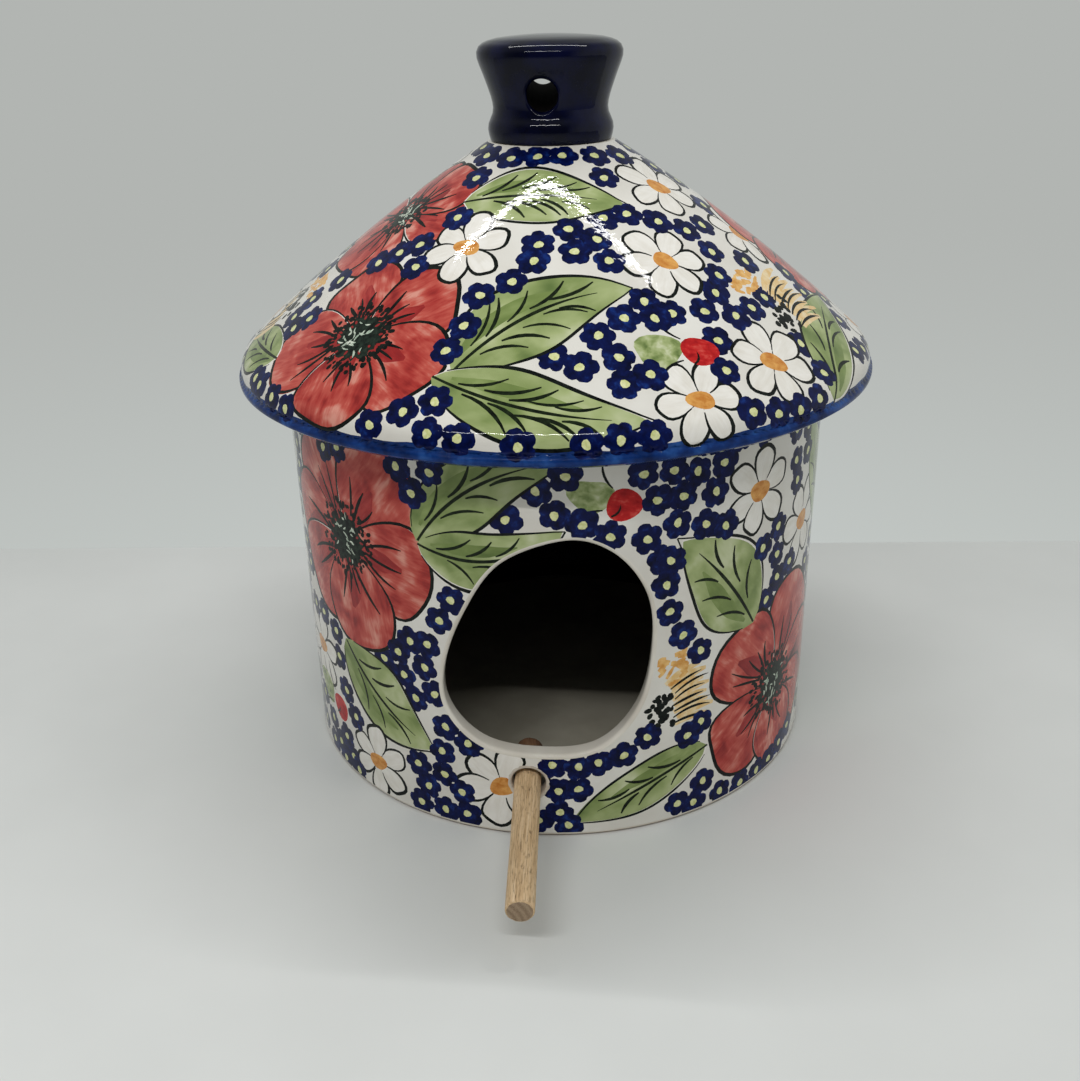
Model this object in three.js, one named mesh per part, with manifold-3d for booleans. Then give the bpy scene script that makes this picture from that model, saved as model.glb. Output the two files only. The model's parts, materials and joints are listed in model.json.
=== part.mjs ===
// Hanging birdhouse in glazed stoneware: a round house with an egg-shaped entrance, a wide conical roof
// with a rolled eave, a flared knob drilled for a cord, and a loose wooden perch below the entrance.
// Millimetres, +Z up, origin at the centre of the underside, front (perch side) towards -Y.
import * as THREE from 'three';
import { mergeVertices } from 'three/addons/utils/BufferGeometryUtils.js';
import Module from 'manifold-3d';

const wasm = await Module();
wasm.setup();

// ---- driving dimensions ------------------------------------------------------------------------
const GAP = 0.3; // clearance between pieces that touch
const WALL = 5.3; // thickness of the thrown clay
const ROUND_SEGMENTS = 72; // facets round the large turned pieces
const KNOB_SEGMENTS = 40;
const DOWEL_SEGMENTS = 24;

const BODY_RADIUS = 85;
const FOOT_ROUNDING = 1.5;
const FLOOR_THICKNESS = 6;
const FLOOR_COIL = 4; // leg of the clay coil pressed into the floor corner
const EAVE_COIL = 5; // leg of the clay coil pressed in under the eave

const ROOF_SEAT_RADIUS = 19; // flat top that carries the knob
const ROOF_SEAT_Z = 190.9;
const ROOF_SLOPE_TOP = 31.6; // degrees below the horizontal
const ROOF_SLOPE_EAVE = 41.7;
const SHOULDER_RADIUS = 98.1; // widest point of the rounded shoulder
const SHOULDER_ROUNDING = 9.3;
const GROOVE_RADIUS = 97.4; // line pressed between shoulder and lip
const LIP_RADIUS = 98.9; // outside of the rolled lip
const LIP_ROUNDING = 2.1;
const LIP_BOTTOM_Z = 123.8;

const KNOB_SPIGOT_RADIUS = 15;
const KNOB_COLLAR_HEIGHT = 6.4;
const CORD_HOLE_RADIUS = 4.5;
const CORD_HOLE_Z = 204.4;
const CORD_HOLE_TURN = -1.6; // degrees off the front-to-back direction

// entrance outline: across (mm) and height (mm), seen square on from ENTRANCE_TURN degrees right of front
const ENTRANCE_TURN = 3.8;
const ENTRANCE_OUTLINE = [
  [6, 98], [19, 93.5], [28, 80.5], [30, 64], [26.5, 44.5], [15, 31.5],
  [-3, 29.5], [-19, 32], [-28.5, 41.5], [-29.5, 54.5], [-23.5, 72.5], [-12, 90.5],
];

const PERCH_HOLE_RADIUS = 5.1;
const PERCH_HOLE_Z = 19.4;
const PERCH_RADIUS = 4;
const PERCH_LENGTH = 66;
const PERCH_INSIDE = 17.3; // length that lies behind the outside of the wall
const PERCH_AT = [-0.3, -BODY_RADIUS, 18.8]; // its axis where it leaves the wall
const PERCH_DROOP = 4.5; // degrees that the free end hangs below level
const PERCH_YAW = 4.9; // degrees that it points right of square

const radians = THREE.MathUtils.degToRad;

// ---- materials -------------------------------------------------------------------------------------
function glaze(color, roughness) {
  return new THREE.MeshStandardMaterial({ color, roughness, metalness: 0 });
}

// ---- solids ----------------------------------------------------------------------------------------
function toSolid(geometry) {
  geometry.deleteAttribute('normal');
  geometry.deleteAttribute('uv');
  const merged = mergeVertices(geometry, 1e-4);
  const corners = merged.index.array;
  const triangles = [];
  for (let i = 0; i < corners.length; i += 3) {
    const [a, b, c] = [corners[i], corners[i + 1], corners[i + 2]];
    if (a !== b && b !== c && c !== a) triangles.push(a, b, c);
  }
  return new wasm.Manifold(new wasm.Mesh({
    numProp: 3,
    vertProperties: new Float32Array(merged.attributes.position.array),
    triVerts: new Uint32Array(triangles),
  }));
}

// profile: [radius, height] points, anticlockwise in the (radius, height) plane
function turned(profile, segments, onAxis = false) {
  const points = profile.map(([r, z]) => new THREE.Vector2(r, z));
  if (!onAxis) points.push(points[0].clone());
  const geometry = new THREE.LatheGeometry(points, segments);
  geometry.rotateX(Math.PI / 2);
  return toSolid(geometry);
}

function roundBarAlongY(radius, length, segments) {
  return new THREE.CylinderGeometry(radius, radius, length, segments);
}

function part(name, solid, material) {
  const { vertProperties, triVerts } = solid.getMesh();
  const geometry = new THREE.BufferGeometry();
  geometry.setAttribute('position', new THREE.BufferAttribute(new Float32Array(vertProperties), 3));
  geometry.setIndex(new THREE.BufferAttribute(new Uint32Array(triVerts), 1));
  geometry.computeVertexNormals();
  const mesh = new THREE.Mesh(geometry, material);
  mesh.name = name;
  return mesh;
}

// points on an arc; 0 degrees is straight up, 90 degrees is outwards
function arc(centreR, centreZ, radius, from, to, steps) {
  return Array.from({ length: steps + 1 }, (_, i) => {
    const angle = radians(from + ((to - from) * i) / steps);
    return [centreR + radius * Math.sin(angle), centreZ + radius * Math.cos(angle)];
  });
}

// ---- roof surface: its slope steepens evenly from the seat down to the shoulder ------------------------
const SHOULDER_CENTRE_R = SHOULDER_RADIUS - SHOULDER_ROUNDING;
const EAVE_TANGENT_R = SHOULDER_CENTRE_R + SHOULDER_ROUNDING * Math.sin(radians(ROOF_SLOPE_EAVE));
const SLOPE_RATE = radians(ROOF_SLOPE_EAVE - ROOF_SLOPE_TOP) / (EAVE_TANGENT_R - ROOF_SEAT_RADIUS);

function roofSlope(r) {
  return radians(ROOF_SLOPE_TOP) + SLOPE_RATE * (r - ROOF_SEAT_RADIUS);
}

function roofZ(r) {
  return ROOF_SEAT_Z + Math.log(Math.cos(roofSlope(r)) / Math.cos(radians(ROOF_SLOPE_TOP))) / SLOPE_RATE;
}

const SHOULDER_CENTRE_Z = roofZ(EAVE_TANGENT_R) - SHOULDER_ROUNDING * Math.cos(radians(ROOF_SLOPE_EAVE));
const CONE_STEPS = 7;
const coneRadii = Array.from(
  { length: CONE_STEPS },
  (_, i) => ROOF_SEAT_RADIUS + ((EAVE_TANGENT_R - ROOF_SEAT_RADIUS) * i) / CONE_STEPS,
);

// inside of the roof: the outside, set in by the wall thickness
const roofInside = [
  ...coneRadii.slice(1).map((r) => {
    const slope = roofSlope(r);
    return [r - WALL * Math.sin(slope), roofZ(r) - WALL * Math.cos(slope)];
  }),
  ...arc(SHOULDER_CENTRE_R, SHOULDER_CENTRE_Z, SHOULDER_ROUNDING - WALL, ROOF_SLOPE_EAVE, 90, 2),
];

function roofInsideZ(r) {
  const i = roofInside.findIndex(([outer]) => outer >= r);
  const [r0, z0] = roofInside[i - 1];
  const [r1, z1] = roofInside[i];
  return z0 + ((z1 - z0) * (r - r0)) / (r1 - r0);
}

function roof() {
  const lipCentreR = LIP_RADIUS - LIP_ROUNDING;
  const lipCentreZ = LIP_BOTTOM_Z + LIP_ROUNDING;
  const shoulder = arc(SHOULDER_CENTRE_R, SHOULDER_CENTRE_Z, SHOULDER_ROUNDING, ROOF_SLOPE_EAVE, 86, 4);
  const lip = arc(lipCentreR, lipCentreZ, LIP_ROUNDING, 55, 180, 4);
  const groove = [GROOVE_RADIUS, SHOULDER_CENTRE_Z];
  const rimInside = [SHOULDER_RADIUS - WALL, LIP_BOTTOM_Z];
  const outside = [[0, ROOF_SEAT_Z], ...coneRadii.map((r) => [r, roofZ(r)]), ...shoulder, groove, ...lip];
  const inside = [rimInside, ...[...roofInside].reverse(), [0, roofInside[0][1] + WALL / 2]];
  return turned([...outside, ...inside].reverse(), ROUND_SEGMENTS, true);
}

// ---- house -----------------------------------------------------------------------------------------
function entranceCutter() {
  const anchors = ENTRANCE_OUTLINE.map(([x, z]) => new THREE.Vector3(x, z, 0));
  const curve = new THREE.CatmullRomCurve3(anchors, true, 'catmullrom', 0.5);
  const outline = curve.getPoints(4 * anchors.length).slice(0, -1).map(({ x, y }) => new THREE.Vector2(x, y));
  const geometry = new THREE.ExtrudeGeometry(new THREE.Shape(outline), {
    depth: BODY_RADIUS, bevelEnabled: false, steps: 1,
  });
  geometry.rotateX(Math.PI / 2);
  geometry.translate(0, -BODY_RADIUS / 2, 0);
  geometry.rotateZ(radians(ENTRANCE_TURN));
  return toSolid(geometry);
}

function perchHoleCutter() {
  const geometry = roundBarAlongY(PERCH_HOLE_RADIUS, 4 * WALL, DOWEL_SEGMENTS);
  geometry.translate(0, -BODY_RADIUS, PERCH_HOLE_Z);
  return toSolid(geometry);
}

function houseWall() {
  const inner = BODY_RADIUS - WALL;
  const foot = arc(BODY_RADIUS - FOOT_ROUNDING, FOOT_ROUNDING, FOOT_ROUNDING, 180, 90, 3);
  const wall = turned([
    [inner, 0],
    ...foot,
    [BODY_RADIUS, roofInsideZ(BODY_RADIUS) - GAP],
    [inner, roofInsideZ(inner) - GAP],
  ], ROUND_SEGMENTS);
  return wall.subtract(entranceCutter()).subtract(perchHoleCutter());
}

function floorSlab() {
  const radius = BODY_RADIUS - WALL - GAP;
  return turned([[0, 0], [radius, 0], [radius, FLOOR_THICKNESS], [0, FLOOR_THICKNESS]], ROUND_SEGMENTS, true);
}

function floorCoil() {
  const outer = BODY_RADIUS - WALL - GAP;
  const bottom = FLOOR_THICKNESS + GAP;
  const fillet = arc(outer - FLOOR_COIL, bottom + FLOOR_COIL, FLOOR_COIL, 90, 180, 3);
  return turned([[outer, bottom], ...fillet], ROUND_SEGMENTS);
}

function eaveCoil() {
  const inner = BODY_RADIUS + GAP;
  const outer = inner + EAVE_COIL * Math.cos(roofSlope(inner));
  const top = roofInsideZ(inner) - GAP;
  return turned([
    [inner, top - EAVE_COIL],
    [inner + EAVE_COIL / 4, top - EAVE_COIL * 0.7],
    [outer, roofInsideZ(outer) - GAP],
    [inner, top],
  ], ROUND_SEGMENTS);
}

// ---- knob ------------------------------------------------------------------------------------------
const KNOB_BASE_Z = ROOF_SEAT_Z + GAP;
const KNOB_WAIST_Z = KNOB_BASE_Z + KNOB_COLLAR_HEIGHT + GAP;

function knob() {
  const turnedKnob = turned([
    [0, KNOB_BASE_Z],
    [KNOB_SPIGOT_RADIUS, KNOB_BASE_Z],
    [KNOB_SPIGOT_RADIUS, KNOB_WAIST_Z],
    [17.4, KNOB_WAIST_Z],
    [17.0, 200.4],
    [17.6, 203.4],
    [19.4, 208.6],
    [21.1, 213.2],
    [21.45, 215.4],
    [21.2, 217.2],
    [20.3, 218.5],
    [18.6, 219.0],
    [0, 219.3],
  ], KNOB_SEGMENTS, true);
  const bore = roundBarAlongY(CORD_HOLE_RADIUS, 60, DOWEL_SEGMENTS);
  bore.rotateZ(radians(CORD_HOLE_TURN));
  bore.translate(0, 0, CORD_HOLE_Z);
  return turnedKnob.subtract(toSolid(bore));
}

function knobCollar() {
  const inner = KNOB_SPIGOT_RADIUS + GAP;
  const top = KNOB_BASE_Z + KNOB_COLLAR_HEIGHT;
  return turned([
    [inner, KNOB_BASE_Z],
    [18.0, KNOB_BASE_Z],
    [18.5, KNOB_BASE_Z + 1.8],
    [18.65, KNOB_BASE_Z + 3.6],
    [18.3, KNOB_BASE_Z + 5.2],
    [17.6, top],
    [inner, top],
  ], KNOB_SEGMENTS);
}

// ---- perch -----------------------------------------------------------------------------------------
function perch() {
  const bar = roundBarAlongY(PERCH_RADIUS, PERCH_LENGTH, DOWEL_SEGMENTS);
  bar.translate(0, PERCH_INSIDE - PERCH_LENGTH / 2, 0);
  return toSolid(bar);
}

// ---- assembly --------------------------------------------------------------------------------------
const house = new THREE.Group();
house.add(
  part('house_wall', houseWall(), glaze(0xe4ded2, 0.15)),
  part('floor_slab', floorSlab(), glaze(0xd8d2c4, 0.2)),
  part('floor_luting_ring', floorCoil(), glaze(0x3a2a1e, 0.2)),
  part('roof_luting_ring', eaveCoil(), glaze(0xd8d2c4, 0.2)),
  part('roof', roof(), glaze(0xe4ded2, 0.15)),
  part('knob_luting_ring', knobCollar(), glaze(0x0c1030, 0.1)),
  part('hanging_knob', knob(), glaze(0x0a0e2a, 0.1)),
);

const perchMesh = part('perch', perch(), glaze(0xb9976b, 0.8));
perchMesh.rotation.set(radians(PERCH_DROOP), 0, radians(PERCH_YAW), 'ZYX');
perchMesh.position.set(...PERCH_AT);

const birdhouse = new THREE.Group();
birdhouse.add(house, perchMesh);

export default birdhouse;
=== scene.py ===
"""Glazed, hand-painted hanging birdhouse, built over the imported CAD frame.

The painting is geometry. Every petal, leaf, vein and dot is an outline on the unrolled body or roof. The
outlines are cut into one triangulated skin, which is wrapped back on and carried round the holes and rims.
Lengths are millimetres until a mesh is written.
"""

import json
import math
import random

import bpy
from mathutils import Matrix, Vector
from mathutils.geometry import delaunay_2d_cdt
from mathutils.kdtree import KDTree

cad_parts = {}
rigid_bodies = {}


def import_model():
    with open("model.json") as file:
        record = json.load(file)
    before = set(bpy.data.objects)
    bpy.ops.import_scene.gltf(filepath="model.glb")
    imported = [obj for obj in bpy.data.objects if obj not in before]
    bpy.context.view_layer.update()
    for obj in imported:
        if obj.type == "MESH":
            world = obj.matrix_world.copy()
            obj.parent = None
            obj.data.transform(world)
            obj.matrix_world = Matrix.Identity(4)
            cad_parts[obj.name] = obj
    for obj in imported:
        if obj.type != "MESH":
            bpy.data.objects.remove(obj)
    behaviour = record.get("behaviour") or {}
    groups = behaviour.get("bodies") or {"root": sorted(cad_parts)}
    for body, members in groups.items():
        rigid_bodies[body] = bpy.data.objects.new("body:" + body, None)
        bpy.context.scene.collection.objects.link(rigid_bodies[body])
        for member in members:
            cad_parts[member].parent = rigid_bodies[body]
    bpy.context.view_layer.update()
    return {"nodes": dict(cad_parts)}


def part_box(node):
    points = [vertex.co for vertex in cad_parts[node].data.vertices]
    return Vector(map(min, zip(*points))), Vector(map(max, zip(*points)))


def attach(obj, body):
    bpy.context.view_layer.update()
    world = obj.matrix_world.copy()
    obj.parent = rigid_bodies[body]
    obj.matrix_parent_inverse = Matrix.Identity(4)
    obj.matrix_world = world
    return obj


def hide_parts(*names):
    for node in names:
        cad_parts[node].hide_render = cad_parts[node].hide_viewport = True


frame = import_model()

MM = 0.001
TURN = 2 * math.pi
QUARTER_TURN = [math.radians(15 * step) for step in range(1, 7)]
dice = random.Random(5)


def box_mm(node):
    """Lowest and highest corner of a CAD node, in millimetres."""
    low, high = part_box(node)
    return low / MM, high / MM


# ---- sizes, from the frame and the part's own dimensions ----
WALL = 5.3
GAP = 0.3
BODY_R = box_mm("house_wall")[1].x
INNER_R = BODY_R - WALL
WALL_TOP = box_mm("house_wall")[1].z
WALL_SHOULDER = max(
    v.co.z / MM for v in frame["nodes"]["house_wall"].data.vertices
    if math.hypot(v.co.x, v.co.y) / MM > BODY_R - 0.1
)
FOOT_ROUNDING = 1.5

ROOF_LOW, ROOF_HIGH = box_mm("roof")
SEAT_R = 19.0
SEAT_Z = ROOF_HIGH.z
SLOPE_TOP = math.radians(31.6)
SLOPE_EAVE = math.radians(41.7)
SHOULDER_R = 98.1
SHOULDER_ROUNDING = 9.3
LIP_R = ROOF_HIGH.x
LIP_ROUNDING = 2.1
RIM_INSIDE_R = 92.8

KNOB_LOW, KNOB_HIGH = box_mm("hanging_knob")
BORE_R = 4.5
BORE_Z = 204.4
BORE_TURN = math.radians(-1.6)

ENTRANCE_TURN = math.radians(3.8)
ENTRANCE_OUTLINE = [
    (6, 98), (19, 93.5), (28, 80.5), (30, 64), (26.5, 44.5), (15, 31.5),
    (-3, 29.5), (-19, 32), (-28.5, 41.5), (-29.5, 54.5), (-23.5, 72.5), (-12, 90.5),
]
ENTRANCE_LIP = 1.3
ENTRANCE_MARGIN = 2.8
PERCH_HOLE_R = 5.1
PERCH_HOLE_Z = 19.4
PERCH_HOLE_LIP = 0.7
INNER_LIP = 0.8

PERCH_R = 4.0
PERCH_LENGTH = 66.0
PERCH_INSIDE = 17.3
PERCH_AT = Vector((-0.3, -BODY_R, 18.8))
PERCH_DROOP = math.radians(4.5)
PERCH_YAW = math.radians(4.9)


# ---- flat drawing ----
def catmull(anchors, per_span, closed=False):
    """A smooth line through the anchors."""
    count = len(anchors)
    spans = count if closed else count - 1
    line = []
    for i in range(spans):
        if closed:
            p = [anchors[(i + k - 1) % count] for k in range(4)]
        else:
            p = [anchors[min(max(i + k - 1, 0), count - 1)] for k in range(4)]
        for k in range(per_span):
            t = k / per_span
            line.append(tuple(
                0.5 * (2 * b + (c - a) * t + (2 * a - 5 * b + 4 * c - d) * t * t
                       + (3 * b - a - 3 * c + d) * t ** 3)
                for a, b, c, d in zip(*p)
            ))
    if not closed:
        line.append(tuple(anchors[-1]))
    return line


def moved(points, centre, angle=0.0, size=1.0):
    """Points turned by angle in degrees, scaled, and carried to a centre."""
    c = math.cos(math.radians(angle)) * size
    s = math.sin(math.radians(angle)) * size
    return [(centre[0] + x * c - y * s, centre[1] + x * s + y * c) for x, y in points]


def polar(centre, angle, radius):
    """The point at an angle in degrees and a radius from a centre."""
    a = math.radians(angle)
    return centre[0] + radius * math.cos(a), centre[1] + radius * math.sin(a)


def sides(line):
    """Unit left normals of a line at its points."""
    normals = []
    for i in range(len(line)):
        a = line[max(i - 1, 0)]
        b = line[min(i + 1, len(line) - 1)]
        dx, dy = b[0] - a[0], b[1] - a[1]
        size = math.hypot(dx, dy) or 1.0
        normals.append((-dy / size, dx / size))
    return normals


def closed_normals(outline):
    """Unit normals at the points of a closed outline, to the right of the way it runs."""
    normals = []
    for i in range(len(outline)):
        a, b = outline[i - 1], outline[(i + 1) % len(outline)]
        dx, dy = b[0] - a[0], b[1] - a[1]
        size = math.hypot(dx, dy)
        normals.append((dy / size, -dx / size))
    return normals


def offset_line(line, widths):
    """The line moved left by a width at each of its points."""
    return [(x + nx * w, y + ny * w) for (x, y), (nx, ny), w in zip(line, sides(line), widths)]


def stroke(line, width, start=0.35, end=0.1):
    """Outline of a brush line that swells from start to its width and runs out to end."""
    last = len(line) - 1
    half = []
    for i in range(last + 1):
        t = i / last
        swell = min(1.0, start + (1 - start) * t / 0.3) * min(1.0, end + (1 - end) * (1 - t) / 0.35)
        half.append(width / 2 * swell)
    left = offset_line(line, half)
    right = offset_line(line, [-h for h in half])
    return left + right[::-1]


def arc(a, b, bow, count=7):
    """Points from a to b, bowed to the left by a share of the distance."""
    dx, dy = b[0] - a[0], b[1] - a[1]
    line = []
    for i in range(count):
        t = i / (count - 1)
        lift = 4 * bow * t * (1 - t)
        line.append((a[0] + dx * t - dy * lift, a[1] + dy * t + dx * lift))
    return line


def blob(centre, across, up, angle=0.0, count=16, rough=0.05):
    """A hand-dabbed oval."""
    phase = dice.uniform(0, TURN)
    points = []
    for k in range(count):
        a = TURN * k / count
        r = 1 + rough * math.sin(2 * a + phase) + rough * math.sin(3 * a + 2 * phase)
        points.append((across * r * math.cos(a), up * r * math.sin(a)))
    return moved(points, centre, angle)


class Picture:
    """Flat shapes in painting order, on a surface that joins up at a seam. Loose florets keep off the
    outlines in big."""

    def __init__(self, domain, paint, over_seam):
        self.shapes = [(domain, paint, None)]
        self.over_seam = over_seam
        self.big = []

    def add(self, outline, paint, brush=None, keep_clear=False):
        """Adds a shape. brush is (centre, direction in degrees, size): the strokes in its paint follow it."""
        area = sum(
            a[0] * b[1] - b[0] * a[1] for a, b in zip(outline, outline[1:] + outline[:1])
        )
        if area < 0:
            outline = outline[::-1]
        if brush:
            brush = (*brush, dice.uniform(0, 40))
        self.shapes.append((outline, paint, brush))
        if keep_clear:
            self.big.append(outline)
        for copy in self.over_seam(outline):
            moved_brush = brush and (copy(brush[:1])[0], *brush[1:])
            self.shapes.append((copy(outline), paint, moved_brush))
            if keep_clear:
                self.big.append(copy(outline))

    def tuck_under(self, first, start):
        """Moves the shapes from start on underneath the ones from first on."""
        self.shapes[first:] = self.shapes[start:] + self.shapes[first:start]


# ---- motifs ----
def petal_points(length, width, count=36):
    """A broad petal from its base at the origin along +X, with a wavy end."""
    phase = dice.uniform(0, TURN)
    points = []
    for k in range(count):
        t = TURN * k / count
        along = (1 - math.cos(t)) / 2
        wave = 1 + 0.022 * math.sin(3 * t + phase) + 0.016 * math.sin(5 * t - phase)
        points.append((
            length * along * wave,
            width * 0.62 * math.sin(t) * along ** 0.35 * wave,
        ))
    return points


def poppy(picture, centre, petals, heart=8.0):
    """A red poppy: petals as (angle, length), painted in the order given."""
    for angle, length in petals:
        width = length * dice.uniform(0.88, 1.0)
        shape = petal_points(length, width)
        base = polar(centre, angle, 1.5)
        wash = polar(base, dice.uniform(0, 360), 0.5)
        picture.add(moved(shape, base, angle), "daisy_white", keep_clear=True)
        picture.add(moved(shape, wash, angle, 0.995), "poppy_red", (base, angle, length))
        root = polar(centre, angle + dice.uniform(-8, 8), heart * 0.6)
        tip = polar(centre, angle + dice.uniform(-8, 8), length * dice.uniform(0.6, 0.75))
        picture.add(stroke(arc(root, tip, dice.uniform(-0.1, 0.1)), length * 0.2, 0.7, 0.2),
                    "poppy_deep", (base, angle, length))
        rim = moved(shape[3:-3], base, angle, dice.uniform(0.985, 1.0))
        picture.add(stroke(rim, dice.uniform(0.9, 1.3), 0.4, 0.3), "line_black")
        veins = dice.choice((3, 3, 4, 5))
        for k in range(veins):
            lean = (k - (veins - 1) / 2) * dice.uniform(10, 15)
            root = polar(centre, angle + lean * 0.7, heart + 1)
            tip = polar(centre, angle + lean * 1.2, length * dice.uniform(0.5, 0.76))
            bow = dice.uniform(-0.08, 0.08)
            picture.add(stroke(arc(root, tip, bow), dice.uniform(0.75, 1.2), 0.8, 0.35), "line_black")
    ragged = [polar(centre, 9 * k, heart * dice.uniform(0.86, 1.16)) for k in range(40)]
    picture.add(ragged, "poppy_heart")
    for k in range(96):
        spot = polar(centre, k * 3.75 + dice.uniform(-4, 4), heart * dice.uniform(0.95, 1.55))
        picture.add(blob(spot, dice.uniform(0.6, 1.3), dice.uniform(0.5, 0.85), k * 3.75, 8), "line_black")
    for k in range(14):
        spot = polar(centre, k * 25.7 + dice.uniform(-8, 8), heart * dice.uniform(0.7, 1.1))
        picture.add(blob(spot, dice.uniform(0.5, 0.9), 0.4, k * 25.7, 8), "poppy_deep")
    for k in range(22):
        near = polar(centre, dice.uniform(0, 360), heart * dice.uniform(0.15, 0.8))
        far = polar(near, dice.uniform(0, 360), dice.uniform(1.2, 2.8))
        picture.add(stroke(arc(near, far, 0.1, 4), dice.uniform(0.4, 0.75), 0.4, 0.2), "pale_dash")


def leaf(picture, base, tip, width, bow=0.0, veins=3):
    """A green leaf, widest a little nearer its base, with a black outline and bold veins."""
    spine = arc(base, tip, bow, 25)
    angle = math.degrees(math.atan2(tip[1] - base[1], tip[0] - base[0]))
    length = math.dist(base, tip)
    last = len(spine) - 1
    phase = dice.uniform(0, TURN)

    def edge(side, share=1.0):
        widths = []
        for i in range(last + 1):
            t = i / last
            wave = 1 + 0.07 * math.sin(7 * t + phase + side)
            widths.append(side * share * wave * width / 2 * math.sin(math.pi * t ** 0.8) ** 0.8)
        return offset_line(spine, widths)

    left, right = edge(1), edge(-1)
    picture.add(left + right[-2:0:-1], "daisy_white", keep_clear=True)
    drift = (dice.uniform(-0.6, 0.6), dice.uniform(-0.6, 0.6))
    fill = edge(1, dice.uniform(0.93, 1.0)) + edge(-1, dice.uniform(0.93, 1.0))[-2:0:-1]
    picture.add(moved(fill, drift), "leaf_green", (base, angle, length))
    shade = edge(dice.choice((1, -1)), 0.36)[2:18]
    picture.add(stroke(shade, width * 0.2, 0.2, 0.1), "leaf_deep", (base, angle, length))
    overshoot = polar(tip, angle + dice.uniform(-25, 25), dice.uniform(0.5, 2.0))
    for line in (left, right):
        picture.add(stroke(line[1:-1] + [overshoot], dice.uniform(0.7, 1.15), 0.3, 0.45), "line_black")
    picture.add(stroke(spine[0:21], dice.uniform(0.85, 1.1), 0.7, 0.2), "vein_green")
    for k in range(veins):
        for side in (1, -1):
            t = 0.14 + 0.56 * (k + (0.4 if side < 0 else 0.0) + dice.uniform(-0.08, 0.08)) / veins
            reach = min(t + dice.uniform(0.17, 0.25), 0.92)
            root = edge(side, dice.uniform(0.12, 0.26))[round(t * last)]
            end = edge(side, dice.uniform(0.66, 0.84))[round(reach * last)]
            picture.add(stroke(arc(root, end, -0.1 * side), dice.uniform(0.8, 1.15), 0.5, 0.4), "vein_green")


def daisy(picture, centre, radius, turn=0.0, petals=6):
    """A white daisy: outlined petals round an orange heart."""
    heart = (radius * 0.31, radius * 0.22)
    for k in range(petals):
        angle = turn + 360 * k / petals + dice.uniform(-5, 5)
        length = radius * dice.uniform(0.82, 0.95)
        shape = petal_points(length, length * dice.uniform(0.62, 0.74), 22)
        base = polar(centre, angle, radius * 0.1)
        picture.add(moved(shape, base, angle), "daisy_white", (base, angle, length), keep_clear=True)
        edge = moved(shape[2:-2], base, angle)
        if k % 2:
            edge = edge[::-1]
        picture.add(stroke(edge, dice.uniform(0.85, 1.25), 0.3, 0.3), "line_black")
    picture.add(
        blob(centre, *heart, dice.uniform(-25, 25), 18, 0.06), "heart_orange", (centre, 0, heart[0])
    )


def bud(picture, centre, calyx, radius=5.2):
    """A closed red bud with its green calyx leaf."""
    away = math.degrees(math.atan2(calyx[1] - centre[1], calyx[0] - centre[0]))
    reach = math.dist(centre, calyx)
    picture.add(blob(calyx, reach * 0.62, radius * 0.95, away, 20, 0.1), "leaf_green",
                (calyx, away, 10), keep_clear=True)
    picture.add(blob(centre, radius, radius * 0.88, away, 22, 0.05), "bud_red",
                (centre, away, radius), keep_clear=True)
    for lean in (-38, 30):
        start = polar(centre, away + lean, radius * 1.15)
        end = polar(centre, away + lean * 1.2, radius + reach * 0.95)
        picture.add(stroke(arc(start, end, 0.12 if lean < 0 else -0.12), 0.75, 0.5, 0.2), "line_black")
    inner = polar(centre, away + 60, radius * 0.9)
    picture.add(stroke(arc(inner, polar(centre, away, radius * 0.2), -0.2, 5), 0.7, 0.9, 0.1), "line_black")


def straw(picture, seeds, tufts, facing, reach=14.0):
    """An ochre seed head: dark seeds, ochre dabs beside them, and ochre and black lines facing away."""
    across = polar((0, 0), facing + 90, 1)
    picture.big.append(blob(seeds, 4.5, 7.0, 0, 20))
    for k in range(8):
        rise = -5.5 + 2.1 * k
        near = (seeds[0] + across[0] * rise, seeds[1] + across[1] * rise)
        near = polar(near, facing, dice.uniform(2, 4))
        far = polar(near, facing + 2.5 * (k - 3), reach * dice.uniform(0.85, 1.05))
        picture.add(stroke(arc(near, far, 0.08), dice.uniform(2.2, 3.0), 0.6, 0.4), "ochre_pale",
                    keep_clear=True)
    for k in range(24):
        spot = (tufts[0] + dice.uniform(-4.4, 4.4), tufts[1] + dice.uniform(-5.0, 5.0))
        end = polar(spot, facing + dice.uniform(-50, 50), dice.uniform(2.2, 4.6))
        middle = ((spot[0] + end[0]) / 2, (spot[1] + end[1]) / 2)
        picture.add(stroke([spot, middle, end], dice.uniform(1.2, 2.1), 0.7, 0.5), "ochre", keep_clear=True)
    for k in range(7):
        rise = -5.0 + 2.0 * k
        near = (seeds[0] + across[0] * rise, seeds[1] + across[1] * rise)
        near = polar(near, facing, dice.uniform(2, 5))
        far = polar(near, facing + 3 * (k - 3), reach * dice.uniform(0.8, 1.0))
        picture.add(stroke(arc(near, far, dice.uniform(0.05, 0.12)), dice.uniform(0.7, 1.0), 0.5, 0.2),
                    "line_black")
    for k in range(34):
        spot = (seeds[0] + dice.gauss(0, 2.0), seeds[1] + dice.gauss(0, 3.8))
        picture.add(blob(spot, dice.uniform(0.85, 1.4), dice.uniform(0.7, 1.1), k * 31, 8), "line_black")


FLORET_SPACING = 7.3
FLORET_CLEARANCE = 1.9
FLORET_TRIES = 9000


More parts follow.
